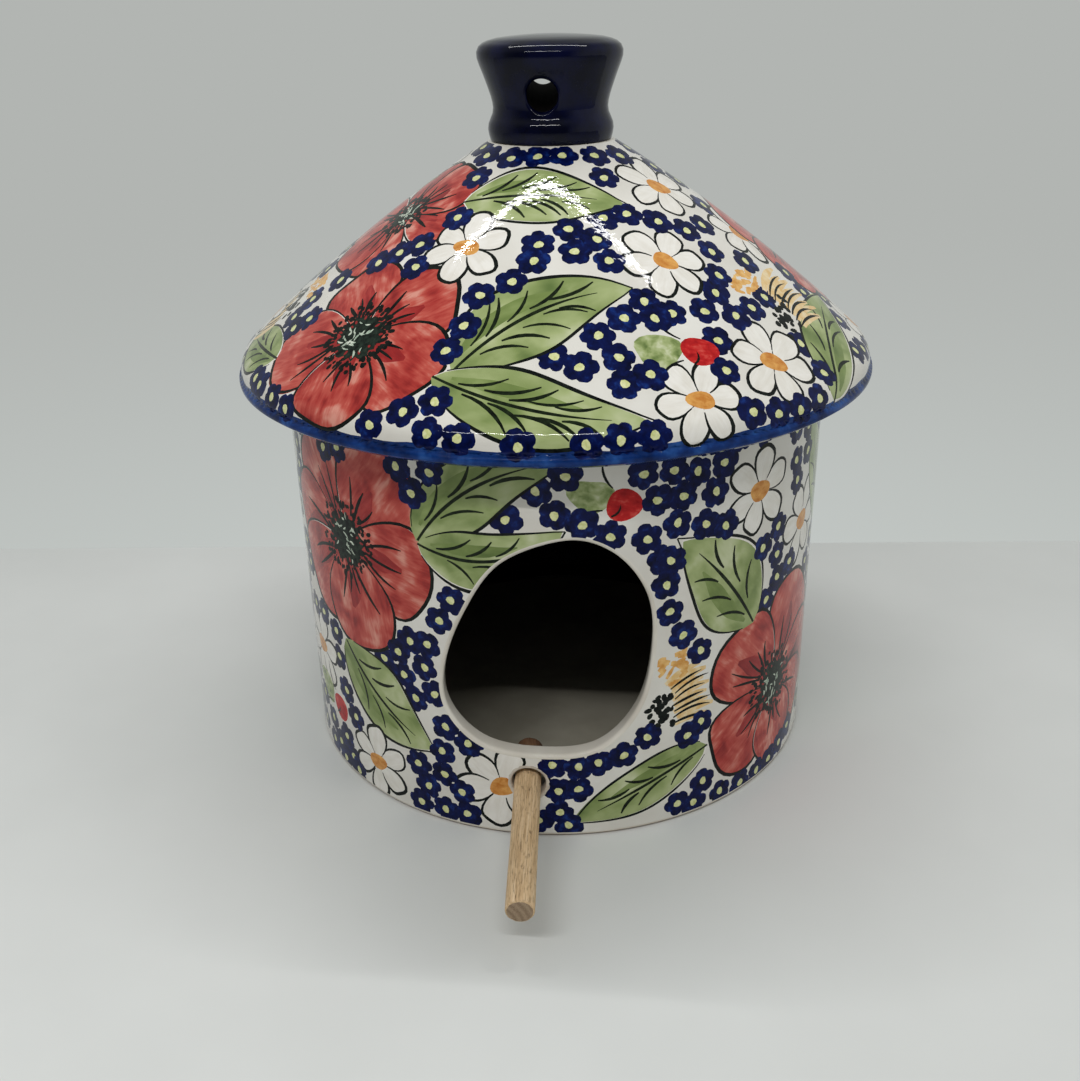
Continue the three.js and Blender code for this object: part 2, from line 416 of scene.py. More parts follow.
def floret(picture, centre):
    """A small stamped blue flower with a pale dot."""
    size = dice.uniform(4.45, 4.95)
    lobes = dice.choice((5, 5, 5, 6))
    phase = dice.uniform(0, 360)
    outline = []
    for k in range(30):
        a = 360 * k / 30
        notch = abs(math.sin(math.radians(a * lobes / 2))) ** 0.6
        outline.append(polar(centre, a + phase, size * (0.79 + 0.21 * notch) * dice.uniform(0.97, 1.03)))
    picture.add(outline, "floret_blue", (centre, phase, size))
    middle = polar(centre, dice.uniform(0, 360), 0.3)
    picture.add(blob(middle, 1.35, 1.2, dice.uniform(0, 180), 9, 0.08), "floret_dot")


def inside(point, outline):
    """Whether a point lies in a closed outline."""
    x, y = point
    hit = False
    for (ax, ay), (bx, by) in zip(outline, outline[1:] + outline[:1]):
        if (ay > y) != (by > y) and x < (bx - ax) * (y - ay) / (by - ay) + ax:
            hit = not hit
    return hit


def scatter_florets(picture, placed, candidates):
    """Fills free ground with florets, away from the ones placed and just outside the big motifs."""
    edges = [p for outline in picture.big for p in outline]
    tree = KDTree(len(edges))
    for i, (x, y) in enumerate(edges):
        tree.insert((x, y, 0), i)
    tree.balance()
    for spot in candidates:
        if any(math.dist(spot, p) < FLORET_SPACING for p in placed):
            continue
        if tree.find((*spot, 0))[2] < FLORET_CLEARANCE or any(inside(spot, o) for o in picture.big):
            continue
        placed.append(spot)
        floret(picture, spot)
        reach = [(spot[0] + side * FLORET_SPACING, spot[1]) for side in (-1, 1)]
        for copy in picture.over_seam(reach):
            placed.append(copy([spot])[0])


def paint_flowers(picture, at, motifs, florets, loose_spot, openings=()):
    """Paints the motifs in order, the listed florets, and loose ones tucked in under the motifs.
    In a row of motifs a tuple is a point, which at turns into a flat one."""
    first = len(picture.shapes)
    for motif, *details in motifs:
        motif(picture, *[at(*value) if isinstance(value, tuple) else value for value in details])
    placed = [at(*spot) for spot in florets]
    for spot in placed:
        floret(picture, spot)
    candidates = [loose_spot() for _ in range(FLORET_TRIES)]
    picture.big.extend(openings)
    loose = len(picture.shapes)
    scatter_florets(picture, placed, candidates)
    picture.tuck_under(first, loose)


# ---- surfaces of revolution ----
def azimuth_point(azimuth, radius, z):
    """Azimuth 0 is the front, and it grows towards +X."""
    return Vector((radius * math.sin(azimuth), -radius * math.cos(azimuth), z))


class Profile:
    """A turned outline from its top down, looked up by the distance along it."""

    def __init__(self, points):
        self.points = points
        self.at = [0.0]
        for a, b in zip(points, points[1:]):
            self.at.append(self.at[-1] + math.dist(a, b))
        self.length = self.at[-1]

    def look(self, s):
        """(radius, z, the outward normal's radial and upward parts) at distance s."""
        s = min(max(s, 0.0), self.length)
        low, high = 0, len(self.at) - 1
        while high - low > 1:
            middle = (low + high) // 2
            if self.at[middle] <= s:
                low = middle
            else:
                high = middle
        t = (s - self.at[low]) / (self.at[high] - self.at[low])
        a, b = self.points[low], self.points[high]
        na, nb = self.normal(low), self.normal(high)
        return (a[0] + (b[0] - a[0]) * t, a[1] + (b[1] - a[1]) * t,
                na[0] + (nb[0] - na[0]) * t, na[1] + (nb[1] - na[1]) * t)

    def normal(self, i):
        a = self.points[max(i - 1, 0)]
        b = self.points[min(i + 1, len(self.points) - 1)]
        dr, dz = b[0] - a[0], b[1] - a[1]
        size = math.hypot(dr, dz)
        return -dz / size, dr / size


class Strip:
    """Unrolls a near-cylinder: x is the way round at a radius, and y counts up from its lower edge."""

    def __init__(self, profile, radius):
        self.profile = profile
        self.radius = radius
        self.half = math.pi * radius
        self.height = profile.length

    def place(self, x, y):
        radius, z, out, up = self.profile.look(self.height - y)
        azimuth = x / self.radius
        return azimuth_point(azimuth, radius, z), azimuth_point(azimuth, out, up)

    def cells(self, step):
        """How many cells of about a step go round, and how many rows go up."""
        return round(2 * self.half / step), max(2, round(self.height / step))

    def domain(self, step=4.0):
        count, rows = self.cells(step)
        bottom = [(-self.half + 2 * self.half * i / count, 0.0) for i in range(count)]
        right = [(self.half, self.height * i / rows) for i in range(rows)]
        top = [(-x, self.height) for x, _ in bottom]
        left = [(-self.half, self.height * (rows - i) / rows) for i in range(rows)]
        return bottom + right + top + left

    def grid(self, step=4.0):
        count, rows = self.cells(step)
        return [
            (-self.half + 2 * self.half * (i + 0.25 + 0.5 * (j % 2)) / count, self.height * j / rows)
            for j in range(1, rows) for i in range(count)
        ]

    def over_seam(self, outline):
        copies = []
        for way in (-1, 1):
            if any(x * way < -self.half for x, _ in outline):
                copies.append(lambda points, d=2 * way * self.half: [(x + d, y) for x, y in points])
        return copies

    def on_seam(self, x, y):
        return (x > 0) - (x < 0) if abs(abs(x) - self.half) < 1e-3 else 0


CONE_LENGTH = 95.0  # down the roof's slope, before its shoulder


class Fan:
    """Unrolls a cone: the apex is the origin, and the front runs down -Y."""

    def __init__(self, profile, spread, first_radius):
        self.profile = profile
        self.spread = spread
        self.first = first_radius
        self.last = first_radius + profile.length
        self.half = math.pi * spread

    def flat(self, azimuth, s):
        a = math.radians(azimuth) * self.spread
        return (self.first + s) * math.sin(a), -(self.first + s) * math.cos(a)

    def place(self, x, y):
        radius, z, out, up = self.profile.look(math.hypot(x, y) - self.first)
        azimuth = math.atan2(x, -y) / self.spread
        return azimuth_point(azimuth, radius, z), azimuth_point(azimuth, out, up)

    def ring(self, s, count, way=1):
        return [self.flat(way * (-180 + 360 * i / count), s) for i in range(count + 1)]

    def domain(self, step=4.0):
        rows = round(self.profile.length / step)
        outer = self.ring(self.profile.length, 180)
        inner = self.ring(0.0, 60, -1)
        up = [self.flat(180, self.profile.length * (rows - i) / rows) for i in range(1, rows)]
        down = [self.flat(-180, self.profile.length * i / rows) for i in range(1, rows)]
        return outer + up + inner + down

    def grid(self, step=4.0):
        points = []
        rows = round(CONE_LENGTH / step)
        coarse = [CONE_LENGTH * (k + 1) / rows for k in range(rows - 1)]
        fine = [CONE_LENGTH + 0.62 * k for k in range(1, 18)]
        for j, s in enumerate(coarse + fine):
            radius = self.first + s
            count = round(2 * self.half * radius / (step if s < CONE_LENGTH else 3.0))
            for i in range(count):
                points.append(self.flat(-180 + 360 * (i + 0.25 + 0.5 * (j % 2)) / count, s))
        return points

    def over_seam(self, outline):
        copies = []
        for way in (-1, 1):
            if any(way * math.atan2(x, -y) < -self.half and y > 0 for x, y in outline):
                copies.append(lambda points, d=math.degrees(2 * way * self.half): moved(points, (0, 0), d))
        return copies

    def on_seam(self, x, y):
        a = math.atan2(x, -y)
        return (a > 0) - (a < 0) if abs(abs(a) - self.half) < 1e-4 else 0


# ---- mesh building ----
PLAIN_LAYOUT = (0.99, 0.01)


class Mesh:
    """Vertices, faces and what each corner carries, for one piece."""

    def __init__(self):
        self.points = []
        self.normals = []
        self.faces = []
        self.paints = []
        self.layout = []
        self.brush = []

    def vertex(self, position, normal=(0, 0, 0)):
        self.points.append(Vector(position))
        self.normals.append(normal)
        return len(self.points) - 1

    def face(self, corners, paint, layout=None, brush=None):
        self.faces.append(corners)
        self.paints.append(paint)
        self.layout.extend(layout or [PLAIN_LAYOUT] * len(corners))
        self.brush.extend(brush or [(0.0, 0.0, 0.0)] * len(corners))

    def rows(self, loop, rows, paint, layout=None):
        """Quads from an open loop, whose surface is on its left, through rows of new positions."""
        count = len(loop)
        for k, row in enumerate(rows):
            made = row if isinstance(row[0], int) else [self.vertex(p) for p in row]
            for i in range(count):
                j = (i + 1) % count
                corners = (loop[j], loop[i], made[i], made[j])
                uv = layout and [layout(i + 1, k), layout(i, k), layout(i, k + 1), layout(i + 1, k + 1)]
                self.face(corners, paint if isinstance(paint, str) else paint[k], uv)
            loop = made
        return loop

    def cap(self, loop, centre, paint, layout=PLAIN_LAYOUT):
        """Closes a loop on a middle point."""
        middle = self.vertex(centre)
        for i in range(len(loop)):
            self.face((loop[(i + 1) % len(loop)], loop[i], middle), paint, [layout] * 3)

    def without_short_edges(self, loops, least=0.2):
        """Joins neighbours on the open loops of a triangle mesh that are closer than least."""
        same, kept = {}, []
        for loop in loops:
            short = [loop[0]]
            for i in loop[1:]:
                near = next((k for k in (short[-1], short[0])
                             if (self.points[k] - self.points[i]).length < least), None)
                if near is None:
                    short.append(i)
                else:
                    same[i] = near
            kept.append(short)
        faces = list(zip(self.faces, self.paints, zip(*[iter(self.layout)] * 3),
                         zip(*[iter(self.brush)] * 3)))
        self.faces, self.paints, self.layout, self.brush = [], [], [], []
        for corners, paint, layout, brush in faces:
            corners = tuple(same.get(c, c) for c in corners)
            if len(set(corners)) == 3:
                self.face(corners, paint, layout, brush)
        return kept

    def write(self, name, body, replaced, slot, baked=True):
        """Makes the Blender object, parents it to the body it rides on, and hides the CAD parts it stands
        for.
        """
        kept = sorted({c for corners in self.faces for c in corners})
        number = {old: new for new, old in enumerate(kept)}
        data = bpy.data.meshes.new(name)
        data.from_pydata([self.points[i] * MM for i in kept], [],
                         [[number[c] for c in corners] for corners in self.faces])
        used = list(dict.fromkeys(self.paints))
        for paint in used:
            data.materials.append(PAINTS[paint])
        order = {paint: i for i, paint in enumerate(used)}
        data.polygons.foreach_set("material_index", [order[p] for p in self.paints])
        data.polygons.foreach_set("use_smooth", [True] * len(self.faces))
        if baked:
            layer = data.uv_layers.new(name="OFBake")
            layer.data.foreach_set("uv", [c for uv in self.layout for c in uv])
        brush = data.attributes.new("brush", "FLOAT_VECTOR", "CORNER")
        brush.data.foreach_set("vector", [c for value in self.brush for c in value])
        if any(n != (0, 0, 0) for n in self.normals):
            data.normals_split_custom_set_from_vertices([tuple(self.normals[i]) for i in kept])
        data.update()
        piece = bpy.data.objects.new(name, data)
        bpy.context.scene.collection.objects.link(piece)
        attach(piece, body)
        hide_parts(*replaced)


def walk(edges):
    """Closed loops of directed edges, given as {from: [to, ...]}."""
    loops = []
    while edges:
        start = next(iter(edges))
        loop = [start]
        while True:
            here = loop[-1]
            targets = edges.get(here)
            if not targets:
                break
            step = targets.pop()
            if not targets:
                del edges[here]
            if step == start:
                break
            loop.append(step)
        if len(loop) > 2:
            loops.append(loop)
    return loops


def cut(shapes, grid):
    """Cuts overlapping flat shapes into triangles: the points, what input each one was, the triangles,
    and the topmost shape of each. Triangles outside the first shape or in a hole are left out."""
    flat, faces = [], []
    for outline, _, _ in shapes:
        faces.append(list(range(len(flat), len(flat) + len(outline))))
        flat.extend(outline)
    flat.extend(grid)
    points, _, triangles, sources, _, owners = delaunay_2d_cdt(
        [Vector(p) for p in flat], [], faces, 0, 1e-5, True
    )
    kept, tops = [], []
    for corners, owner in zip(triangles, owners):
        if 0 not in owner or any(shapes[o][1] is None for o in owner):
            continue
        kept.append(corners)
        tops.append(max(owner))
    return [tuple(p) for p in points], sources, kept, tops


def painted_skin(mesh, surface, shapes, lay_out):
    """Wraps the cut shapes on their surface. Returns the open loops, with the surface on their left."""
    points, _, triangles, tops = cut(shapes, surface.grid())
    used = sorted({c for corners in triangles for c in corners})
    number, left, right = {}, [], []
    for i in used:
        side = surface.on_seam(*points[i])
        if side > 0:
            right.append(i)
        else:
            number[i] = mesh.vertex(*surface.place(*points[i]))
            if side < 0:
                left.append(i)
    for i in right:
        place, normal = surface.place(*points[i])
        near = min(left, key=lambda k: (mesh.points[number[k]] - place).length)
        if (mesh.points[number[near]] - place).length < 0.02:
            number[i] = number[near]
        else:
            number[i] = mesh.vertex(place, normal)
    following = {}
    for corners, top in zip(triangles, tops):
        _, paint, brush = shapes[top]
        a, b, c = (number[k] for k in corners)
        if a == b or b == c or c == a:
            continue
        flat = [points[k] for k in corners]
        strokes = None
        if brush:
            (cx, cy), angle, size, seed = brush
            ux, uy = polar((0, 0), angle, 1 / size)
            strokes = [((x - cx) * ux + (y - cy) * uy, (y - cy) * ux - (x - cx) * uy, seed)
                       for x, y in flat]
        mesh.face((a, b, c), paint, lay_out(flat), strokes)
        for start, end in ((a, b), (b, c), (c, a)):
            if start in following.get(end, ()):
                following[end].remove(start)
                if not following[end]:
                    del following[end]
            else:
                following.setdefault(start, []).append(end)
    return mesh.without_short_edges(walk(following))


def through_wall(mesh, loop, turn, radius_at, lip, inner_radius=None):
    """Rows that take a hole's edge round its lip and, if a wall is given, on to the wall's inside."""
    across = Vector((math.cos(turn), math.sin(turn), 0))
    outward = Vector((math.sin(turn), -math.cos(turn), 0))
    flat = [(mesh.points[i].dot(across), mesh.points[i].z) for i in loop]
    count = len(flat)
    inward = closed_normals(flat)
    for _ in range(3):
        inward = [
            (inward[i - 1][0] + 2 * inward[i][0] + inward[(i + 1) % count][0],
             inward[i - 1][1] + 2 * inward[i][1] + inward[(i + 1) % count][1])
            for i in range(count)
        ]
        inward = [(x / math.hypot(x, y), y / math.hypot(x, y)) for x, y in inward]

    def row(shift, radius_of, depth):
        made = []
        for (a, z), (na, nz) in zip(flat, inward):
            a += na * shift
            z += nz * shift
            reach = math.sqrt(radius_of(z) ** 2 - a * a) - depth
            made.append(across * a + outward * reach + Vector((0, 0, z)))
        return made

    rows = []
    for angle in QUARTER_TURN:
        rows.append(row(lip * math.sin(angle), radius_at, lip * (1 - math.cos(angle))))
    if inner_radius:
        for step in range(5):
            angle = math.radians(90 - 22.5 * step)
            rows.append(row(lip - INNER_LIP * (1 - math.sin(angle)), lambda z: inner_radius,
                            -INNER_LIP * (1 - math.cos(angle))))
    return rows


def turned_rows(mesh, loop, profile):
    """Rows of positions round the axis, one for each (radius, z), at the loop's own azimuths."""
    azimuths = [math.atan2(mesh.points[i].x, -mesh.points[i].y) for i in loop]
    return [[azimuth_point(a, r, z) for a in azimuths] for r, z in profile]


# ---- node materials ----
def linear(r, g, b):
    """An sRGB colour, 0 to 255, as Blender's linear RGBA."""
    def channel(c):
        c /= 255
        return c / 12.92 if c <= 0.04045 else ((c + 0.055) / 1.055) ** 2.4
    return channel(r), channel(g), channel(b), 1.0


def add_node(tree, kind, inputs=(), **settings):
    """A shader node with its settings. Its inputs are set to values, or linked to other nodes' outputs."""
    node = tree.nodes.new("ShaderNode" + kind)
    for name, value in settings.items():
        setattr(node, name, value)
    for socket, value in dict(inputs).items():
        if isinstance(value, bpy.types.NodeSocket):
            tree.links.new(value, node.inputs[socket])
        else:
            node.inputs[socket].default_value = value
    return node


def mix_colours(tree, share, a, b):
    """The colour a share of the way from a to b."""
    return add_node(tree, "Mix", {"Factor": share, 6: a, 7: b}, data_type="RGBA").outputs[2]


def smooth_step(tree, value, low, high):
    """0 below low and 1 above high, with a soft step between."""
    return add_node(tree, "MapRange", {"Value": value, "From Min": low, "From Max": high},
                    interpolation_type="SMOOTHSTEP").outputs["Result"]


GLAZE_ROUGHNESS = 0.04
GLAZE_SPECULAR = 0.26
DARK_SPECULAR = 0.12  # keeps the pale tent's reflection from greying the dark paints
COBALT_SPECULAR = 0.17
PAINTS = {}


class Finish:
    """A node material with helpers for patterns, colour ramps and relief."""

    def __init__(self, name, roughness, specular=GLAZE_SPECULAR):
        self.material = bpy.data.materials.new(name)
        self.material.use_nodes = True
        self.tree = self.material.node_tree
        self.shader = self.tree.nodes["Principled BSDF"]
        self.shader.inputs["Roughness"].default_value = roughness
        self.shader.inputs["Specular IOR Level"].default_value = specular
        self.objects = self.node("TexCoord").outputs["Object"]
        PAINTS[name] = self.material

    def node(self, kind, inputs=(), **settings):
        return add_node(self.tree, kind, inputs, **settings)

    def strokes(self):
        """Where a point lies along and across its brush stroke."""
        return self.node("Attribute", attribute_name="brush").outputs["Vector"]

    def scaled(self, vector, scale):
        return self.node("VectorMath", {0: vector, 1: scale}, operation="MULTIPLY").outputs[0]

    def noise(self, vector, scale, detail=3.0, roughness=0.55, distortion=0.0):
        return self.node("TexNoise", {
            "Vector": vector, "Scale": scale, "Detail": detail, "Roughness": roughness,
            "Distortion": distortion,
        }).outputs["Fac"]

    def math(self, operation, a, b):
        return self.node("Math", {0: a, 1: b}, operation=operation).outputs[0]

    def weighted(self, a, share_a, b, share_b):
        """The sum of two values times their shares."""
        return self.math("ADD", self.math("MULTIPLY", a, share_a), self.math("MULTIPLY", b, share_b))

    def colour(self, source):
        self.tree.links.new(source, self.shader.inputs["Base Color"])

    def ramp(self, value, stops):
        """stops is [(position, (r, g, b) in sRGB), ...]."""
        node = self.node("ValToRGB", {"Fac": value})
        elements = node.color_ramp.elements
        while len(elements) < len(stops):
            elements.new(0.5)
        for element, (position, colour) in zip(elements, stops):
            element.position = position
            element.color = linear(*colour)
        return node.outputs["Color"]

    def relief(self, height, distance):
        bump = self.node("Bump", {"Distance": distance, "Height": height})
        self.tree.links.new(bump.outputs["Normal"], self.shader.inputs["Normal"])

    def glaze_waves(self):
        """The slow waves, ripples and fine orange peel of a dipped glaze."""
        slow = self.noise(self.objects, 70, 1.0)
        ripple = self.noise(self.objects, 330, 2.0)
        fine = self.noise(self.objects, 1100, 1.0)
        height = self.math("ADD", slow, self.math("MULTIPLY", ripple, 0.3))
        height = self.math("ADD", height, self.math("MULTIPLY", fine, 0.06))
        self.relief(height, 0.00016)


def brushed(name, stops, stretch, scale, blotch=2.0, mix=0.5, specular=GLAZE_SPECULAR):
    """A paint laid on in strokes under the clear glaze: streaks along the brush, and blotches."""
    finish = Finish(name, GLAZE_ROUGHNESS, specular)
    streaks = finish.noise(finish.scaled(finish.strokes(), stretch), scale, 3.0, 0.6, 0.3)
    blotches = finish.noise(finish.strokes(), blotch, 2.0, 0.5, 0.4)
    finish.colour(finish.ramp(finish.weighted(streaks, 1 - mix, blotches, mix), stops))
    finish.glaze_waves()


def glazed(name, stops, scale=60, detail=3.0, roughness=GLAZE_ROUGHNESS, specular=GLAZE_SPECULAR):
    """An even glaze that varies slowly."""
    finish = Finish(name, roughness, specular)
    finish.colour(finish.ramp(finish.noise(finish.objects, scale, detail), stops))
    finish.glaze_waves()


glazed("ground", [(0.3, (214, 210, 201)), (0.7, (228, 226, 219))], 45)
glazed("rim_cream", [(0.3, (206, 199, 186)), (0.7, (224, 219, 208))], 60)
brushed("daisy_white", [(0.3, (220, 215, 204)), (0.6, (236, 233, 226))], (1.0, 6.0, 1.0), 1.5)
brushed("poppy_red",
        [(0.34, (134, 28, 28)), (0.44, (168, 52, 46)), (0.54, (190, 84, 72)), (0.66, (216, 148, 132))],
        (1.6, 8.0, 1.0), 2.4, 3.6, 0.68)
brushed("poppy_deep", [(0.34, (120, 20, 24)), (0.5, (150, 34, 34)), (0.66, (180, 62, 56))],
        (1.6, 8.0, 1.0), 2.0, 3.0, 0.5)
brushed("bud_red", [(0.35, (150, 18, 24)), (0.55, (190, 36, 36)), (0.7, (215, 90, 80))],
        (1.0, 3.0, 1.0), 1.2, specular=DARK_SPECULAR)
brushed("leaf_green",
        [(0.32, (96, 116, 62)), (0.43, (132, 148, 90)), (0.55, (164, 176, 122)), (0.67, (196, 202, 164))],
        (2.5, 4.0, 1.0), 1.6, 3.4, 0.7)
brushed("leaf_deep", [(0.32, (88, 108, 54)), (0.5, (116, 134, 74)), (0.68, (146, 162, 102))],
        (2.0, 4.0, 1.0), 2.0, 3.0, 0.5)
brushed("floret_blue", [(0.35, (3, 7, 36)), (0.55, (7, 19, 72)), (0.72, (22, 54, 126))],
        (2.0, 2.0, 1.0), 1.1, 1.4, specular=DARK_SPECULAR)
glazed("floret_dot", [(0.35, (200, 204, 136)), (0.65, (224, 226, 176))], 900)
glazed("line_black", [(0.35, (6, 9, 9)), (0.7, (26, 32, 28))], 500, specular=DARK_SPECULAR)
glazed("vein_green", [(0.35, (9, 16, 9)), (0.7, (34, 46, 26))], 500, specular=DARK_SPECULAR)
glazed("poppy_heart", [(0.35, (8, 13, 11)), (0.7, (40, 54, 44))], 700, specular=DARK_SPECULAR)
glazed("pale_dash", [(0.35, (150, 170, 150)), (0.7, (216, 222, 206))], 700)
brushed("heart_orange", [(0.35, (190, 116, 44)), (0.65, (226, 170, 92))], (1.0, 2.0, 1.0), 1.3)
glazed("ochre", [(0.35, (206, 146, 70)), (0.65, (232, 190, 120))], 400)
glazed("ochre_pale", [(0.35, (222, 184, 120)), (0.65, (234, 214, 172))], 400)
glazed("lip_blue", [(0.35, (10, 30, 74)), (0.55, (18, 52, 114)), (0.7, (38, 80, 146))], 160,
       specular=DARK_SPECULAR)
glazed("bare_clay", [(0.35, (188, 178, 164)), (0.65, (212, 204, 192))], 500, 5.0, 0.85)
# a brown band low on the foot's rounding, just above where the body meets the table
glazed("foot_brown_band", [(0.35, (120, 84, 52)), (0.65, (164, 128, 92))], 300, 4.0, 0.6)
glazed("inside_brown", [(0.35, (22, 14, 9)), (0.65, (34, 22, 14))], 60, 3.0, 0.14)
# the floor slab's cream glaze, mixed darker than the other creams as painted shade for the dim inside of the
# house
glazed("floor_cream_shaded", [(0.35, (150, 145, 130)), (0.65, (168, 163, 148))], 50, 3.0, 0.3)
glazed("cobalt", [(0.4, (3, 5, 24)), (0.7, (6, 10, 46))], 120, specular=COBALT_SPECULAR)
# near-black lining of the knob's bore: a painted shadow for the unlit inside of the hole
glazed("bore_painted_shadow", [(0.4, (4, 3, 3)), (0.7, (12, 8, 6))], 300, 3.0, 0.85, 0.06)


# ---- the painted body ----
body_surface = Strip(Profile([(BODY_R, WALL_SHOULDER), (BODY_R, FOOT_ROUNDING)]), BODY_R)


def on_body(azimuth, z):
    """The flat point at an azimuth in degrees and a height."""
    return math.radians(azimuth) * BODY_R, z - FOOT_ROUNDING


def hole_outline(outline, turn, grow):
    """A hole's outline, seen square on from turn, grown and laid flat on the body."""
    grown = []
    for (across, z), (out, up) in zip(outline, closed_normals(outline)):
        azimuth = turn + math.asin((across + out * grow) / BODY_R)
        grown.append((azimuth * BODY_R, z + up * grow - FOOT_ROUNDING))
    return grown


BODY_FLORETS = [
    (-24, 116), (-17, 116), (-21, 109), (-40, 116), (-45, 114), (-14, 78), (-17, 71), (-24, 62),
    (-20, 62), (-27, 57), (-21, 54), (-19, 46), (-17, 35), (-12, 31), (-18, 26), (-24, 19), (-18, 18),
    (-22, 12), (-14, 13), (-24, 5), (-18, 5), (-13, 5), (5, 26), (10, 25), (14, 26), (19, 28), (24, 33),
    (6, 17), (10, 17), (6, 9), (8, 4), (2, 6), (8, 117), (6, 106), (11, 103), (16, 99), (23, 97),
    (25, 108), (30, 108), (37, 107), (29, 100), (35, 98), (40, 96), (22, 116), (28, 116), (33, 114),
    (39, 115), (26, 90), (28, 89), (27, 82), (28, 73), (31, 65), (35, 58), (56, 88), (51, 84), (56, 79),
    (57, 71), (62, 73), (62, 106), (68, 106), (63, 99), (36, 33), (33, 30), (37, 11), (31, 6), (35, 4),
    (42, 4), (48, 3), (54, 3), (59, 4), (64, 6), (69, 8), (-46, 32), (-43, 24), (-48, 13), (-46, 7),
    (-52, 8), (-56, 5), (-50, 3), (-44, 3), (-54, 55), (-48, 52), (-60, 54),
]


BODY_MOTIFS = [
    (poppy, (-39.9, 88), [(122, 33), (180, 32), (50, 36), (226, 33), (-12, 32), (278, 34)]),
    (poppy, (58.1, 33.4), [(60, 36), (0, 34), (135, 33), (320, 30), (216, 31), (281, 27)]),
    (leaf, (-20.4, 95), (8, 121), 20, 0.12),
    (leaf, (-20.5, 94), (7.5, 101), 18, -0.14),
    (leaf, (49.1, 60.6), (30.2, 94.6), 26, -0.04),
    (leaf, (37.9, 24), (9, 5.1), 17, -0.02),
    (leaf, (-43.5, 52), (-19.9, 25.6), 24, -0.06),
    (daisy, (48.8, 102.7), 14, 20),
    (daisy, (67.3, 84.1), 14, 0),
    (daisy, (-57.9, 40.6), 14, 10),
    (daisy, (-36, 12.3), 13, 30),
    (daisy, (-5.3, 17.3), 14, 15),
    (bud, (18.6, 107.7), (12.5, 111)),
    (bud, (-49.7, 22.7), (-57, 26), 5.0),
    (straw, (27.2, 40), (28, 54), 12, 13),
    # the side away from the camera carries the same flowers in another order
    (poppy, (118, 84), [(20, 34), (310, 33), (80, 35), (255, 33), (140, 32), (200, 34)]),
    (poppy, (-164, 44), [(160, 33), (100, 34), (220, 33), (40, 35), (280, 32), (340, 34)]),
    (poppy, (-112, 78), [(60, 34), (120, 33), (0, 33), (180, 35), (300, 33), (240, 34)]),
    (leaf, (92, 72), (70, 116), 22, 0.05),
    (leaf, (98, 40), (80, 8), 20, -0.05),
    (leaf, (138, 66), (164, 104), 23, -0.04),
    (leaf, (152, 30), (126, 8), 18, 0.04),
    (leaf, (-150, 76), (-172, 112), 20, 0.04),
    (leaf, (-132, 34), (-112, 8), 20, -0.03),
    (leaf, (-88, 58), (-68, 24), 22, 0.05),
    (leaf, (-86, 92), (-66, 116), 18, -0.04),
    (daisy, (104, 22), 14, 12),
    (daisy, (142, 112), 14, 28),
    (daisy, (174, 84), 14, 5),
    (daisy, (-138, 110), 14, 18),
    (daisy, (-92, 20), 14, 33),
    (daisy, (-72, 66), 13, 8),
    (daisy, (128, 40), 13.5, 20),
    (bud, (84, 118), (90, 114)),
    (bud, (-126, 52), (-132, 49)),
    (straw, (158, 12), (163, 18), 20),
]


def paint_body():
    picture = Picture(body_surface.domain(), "ground", body_surface.over_seam)
    entrance = catmull(ENTRANCE_OUTLINE, 10, closed=True)[::-1]
    margin = hole_outline(entrance, ENTRANCE_TURN, ENTRANCE_LIP + ENTRANCE_MARGIN)
    paint_flowers(
        picture, on_body, BODY_MOTIFS, BODY_FLORETS,
        lambda: on_body(dice.uniform(-180, 180), dice.uniform(6, WALL_SHOULDER - 6)), [margin],
    )
    perch_hole = [polar((0, PERCH_HOLE_Z), 7.5 * k, PERCH_HOLE_R) for k in range(48)]
    picture.add(hole_outline(entrance, ENTRANCE_TURN, ENTRANCE_LIP), None)
    ring = hole_outline(perch_hole, 0.0, PERCH_HOLE_LIP + 0.4)
    picture.add([(x + dice.uniform(-0.2, 0.2), y + dice.uniform(-0.2, 0.2)) for x, y in ring], "bare_clay")
    picture.add(hole_outline(perch_hole, 0.0, PERCH_HOLE_LIP), None)
    return picture.shapes


PANEL = 144
BODY_LAYOUT = 0.93 / (2 * PANEL)


def lay_out_body(flat):
    """Puts a triangle of the body in one of four panels of the bake layout."""
    middle = sum(x for x, _ in flat) / 3 + body_surface.half
    quarter = min(3, int(middle / (body_surface.half / 2)))
    shift_x = body_surface.half - quarter * body_surface.half / 2 + 5 + (quarter % 2) * PANEL
    shift_y = 5 + (quarter // 2) * PANEL
    return [((x + shift_x) * BODY_LAYOUT, (y + shift_y) * BODY_LAYOUT) for x, y in flat]


def side_strip(first, width, rows, count):
    """Bake layout for plain rows: a narrow upright strip."""
    return lambda i, k: (first + width * k / rows, 0.01 + 0.9 * i / count)


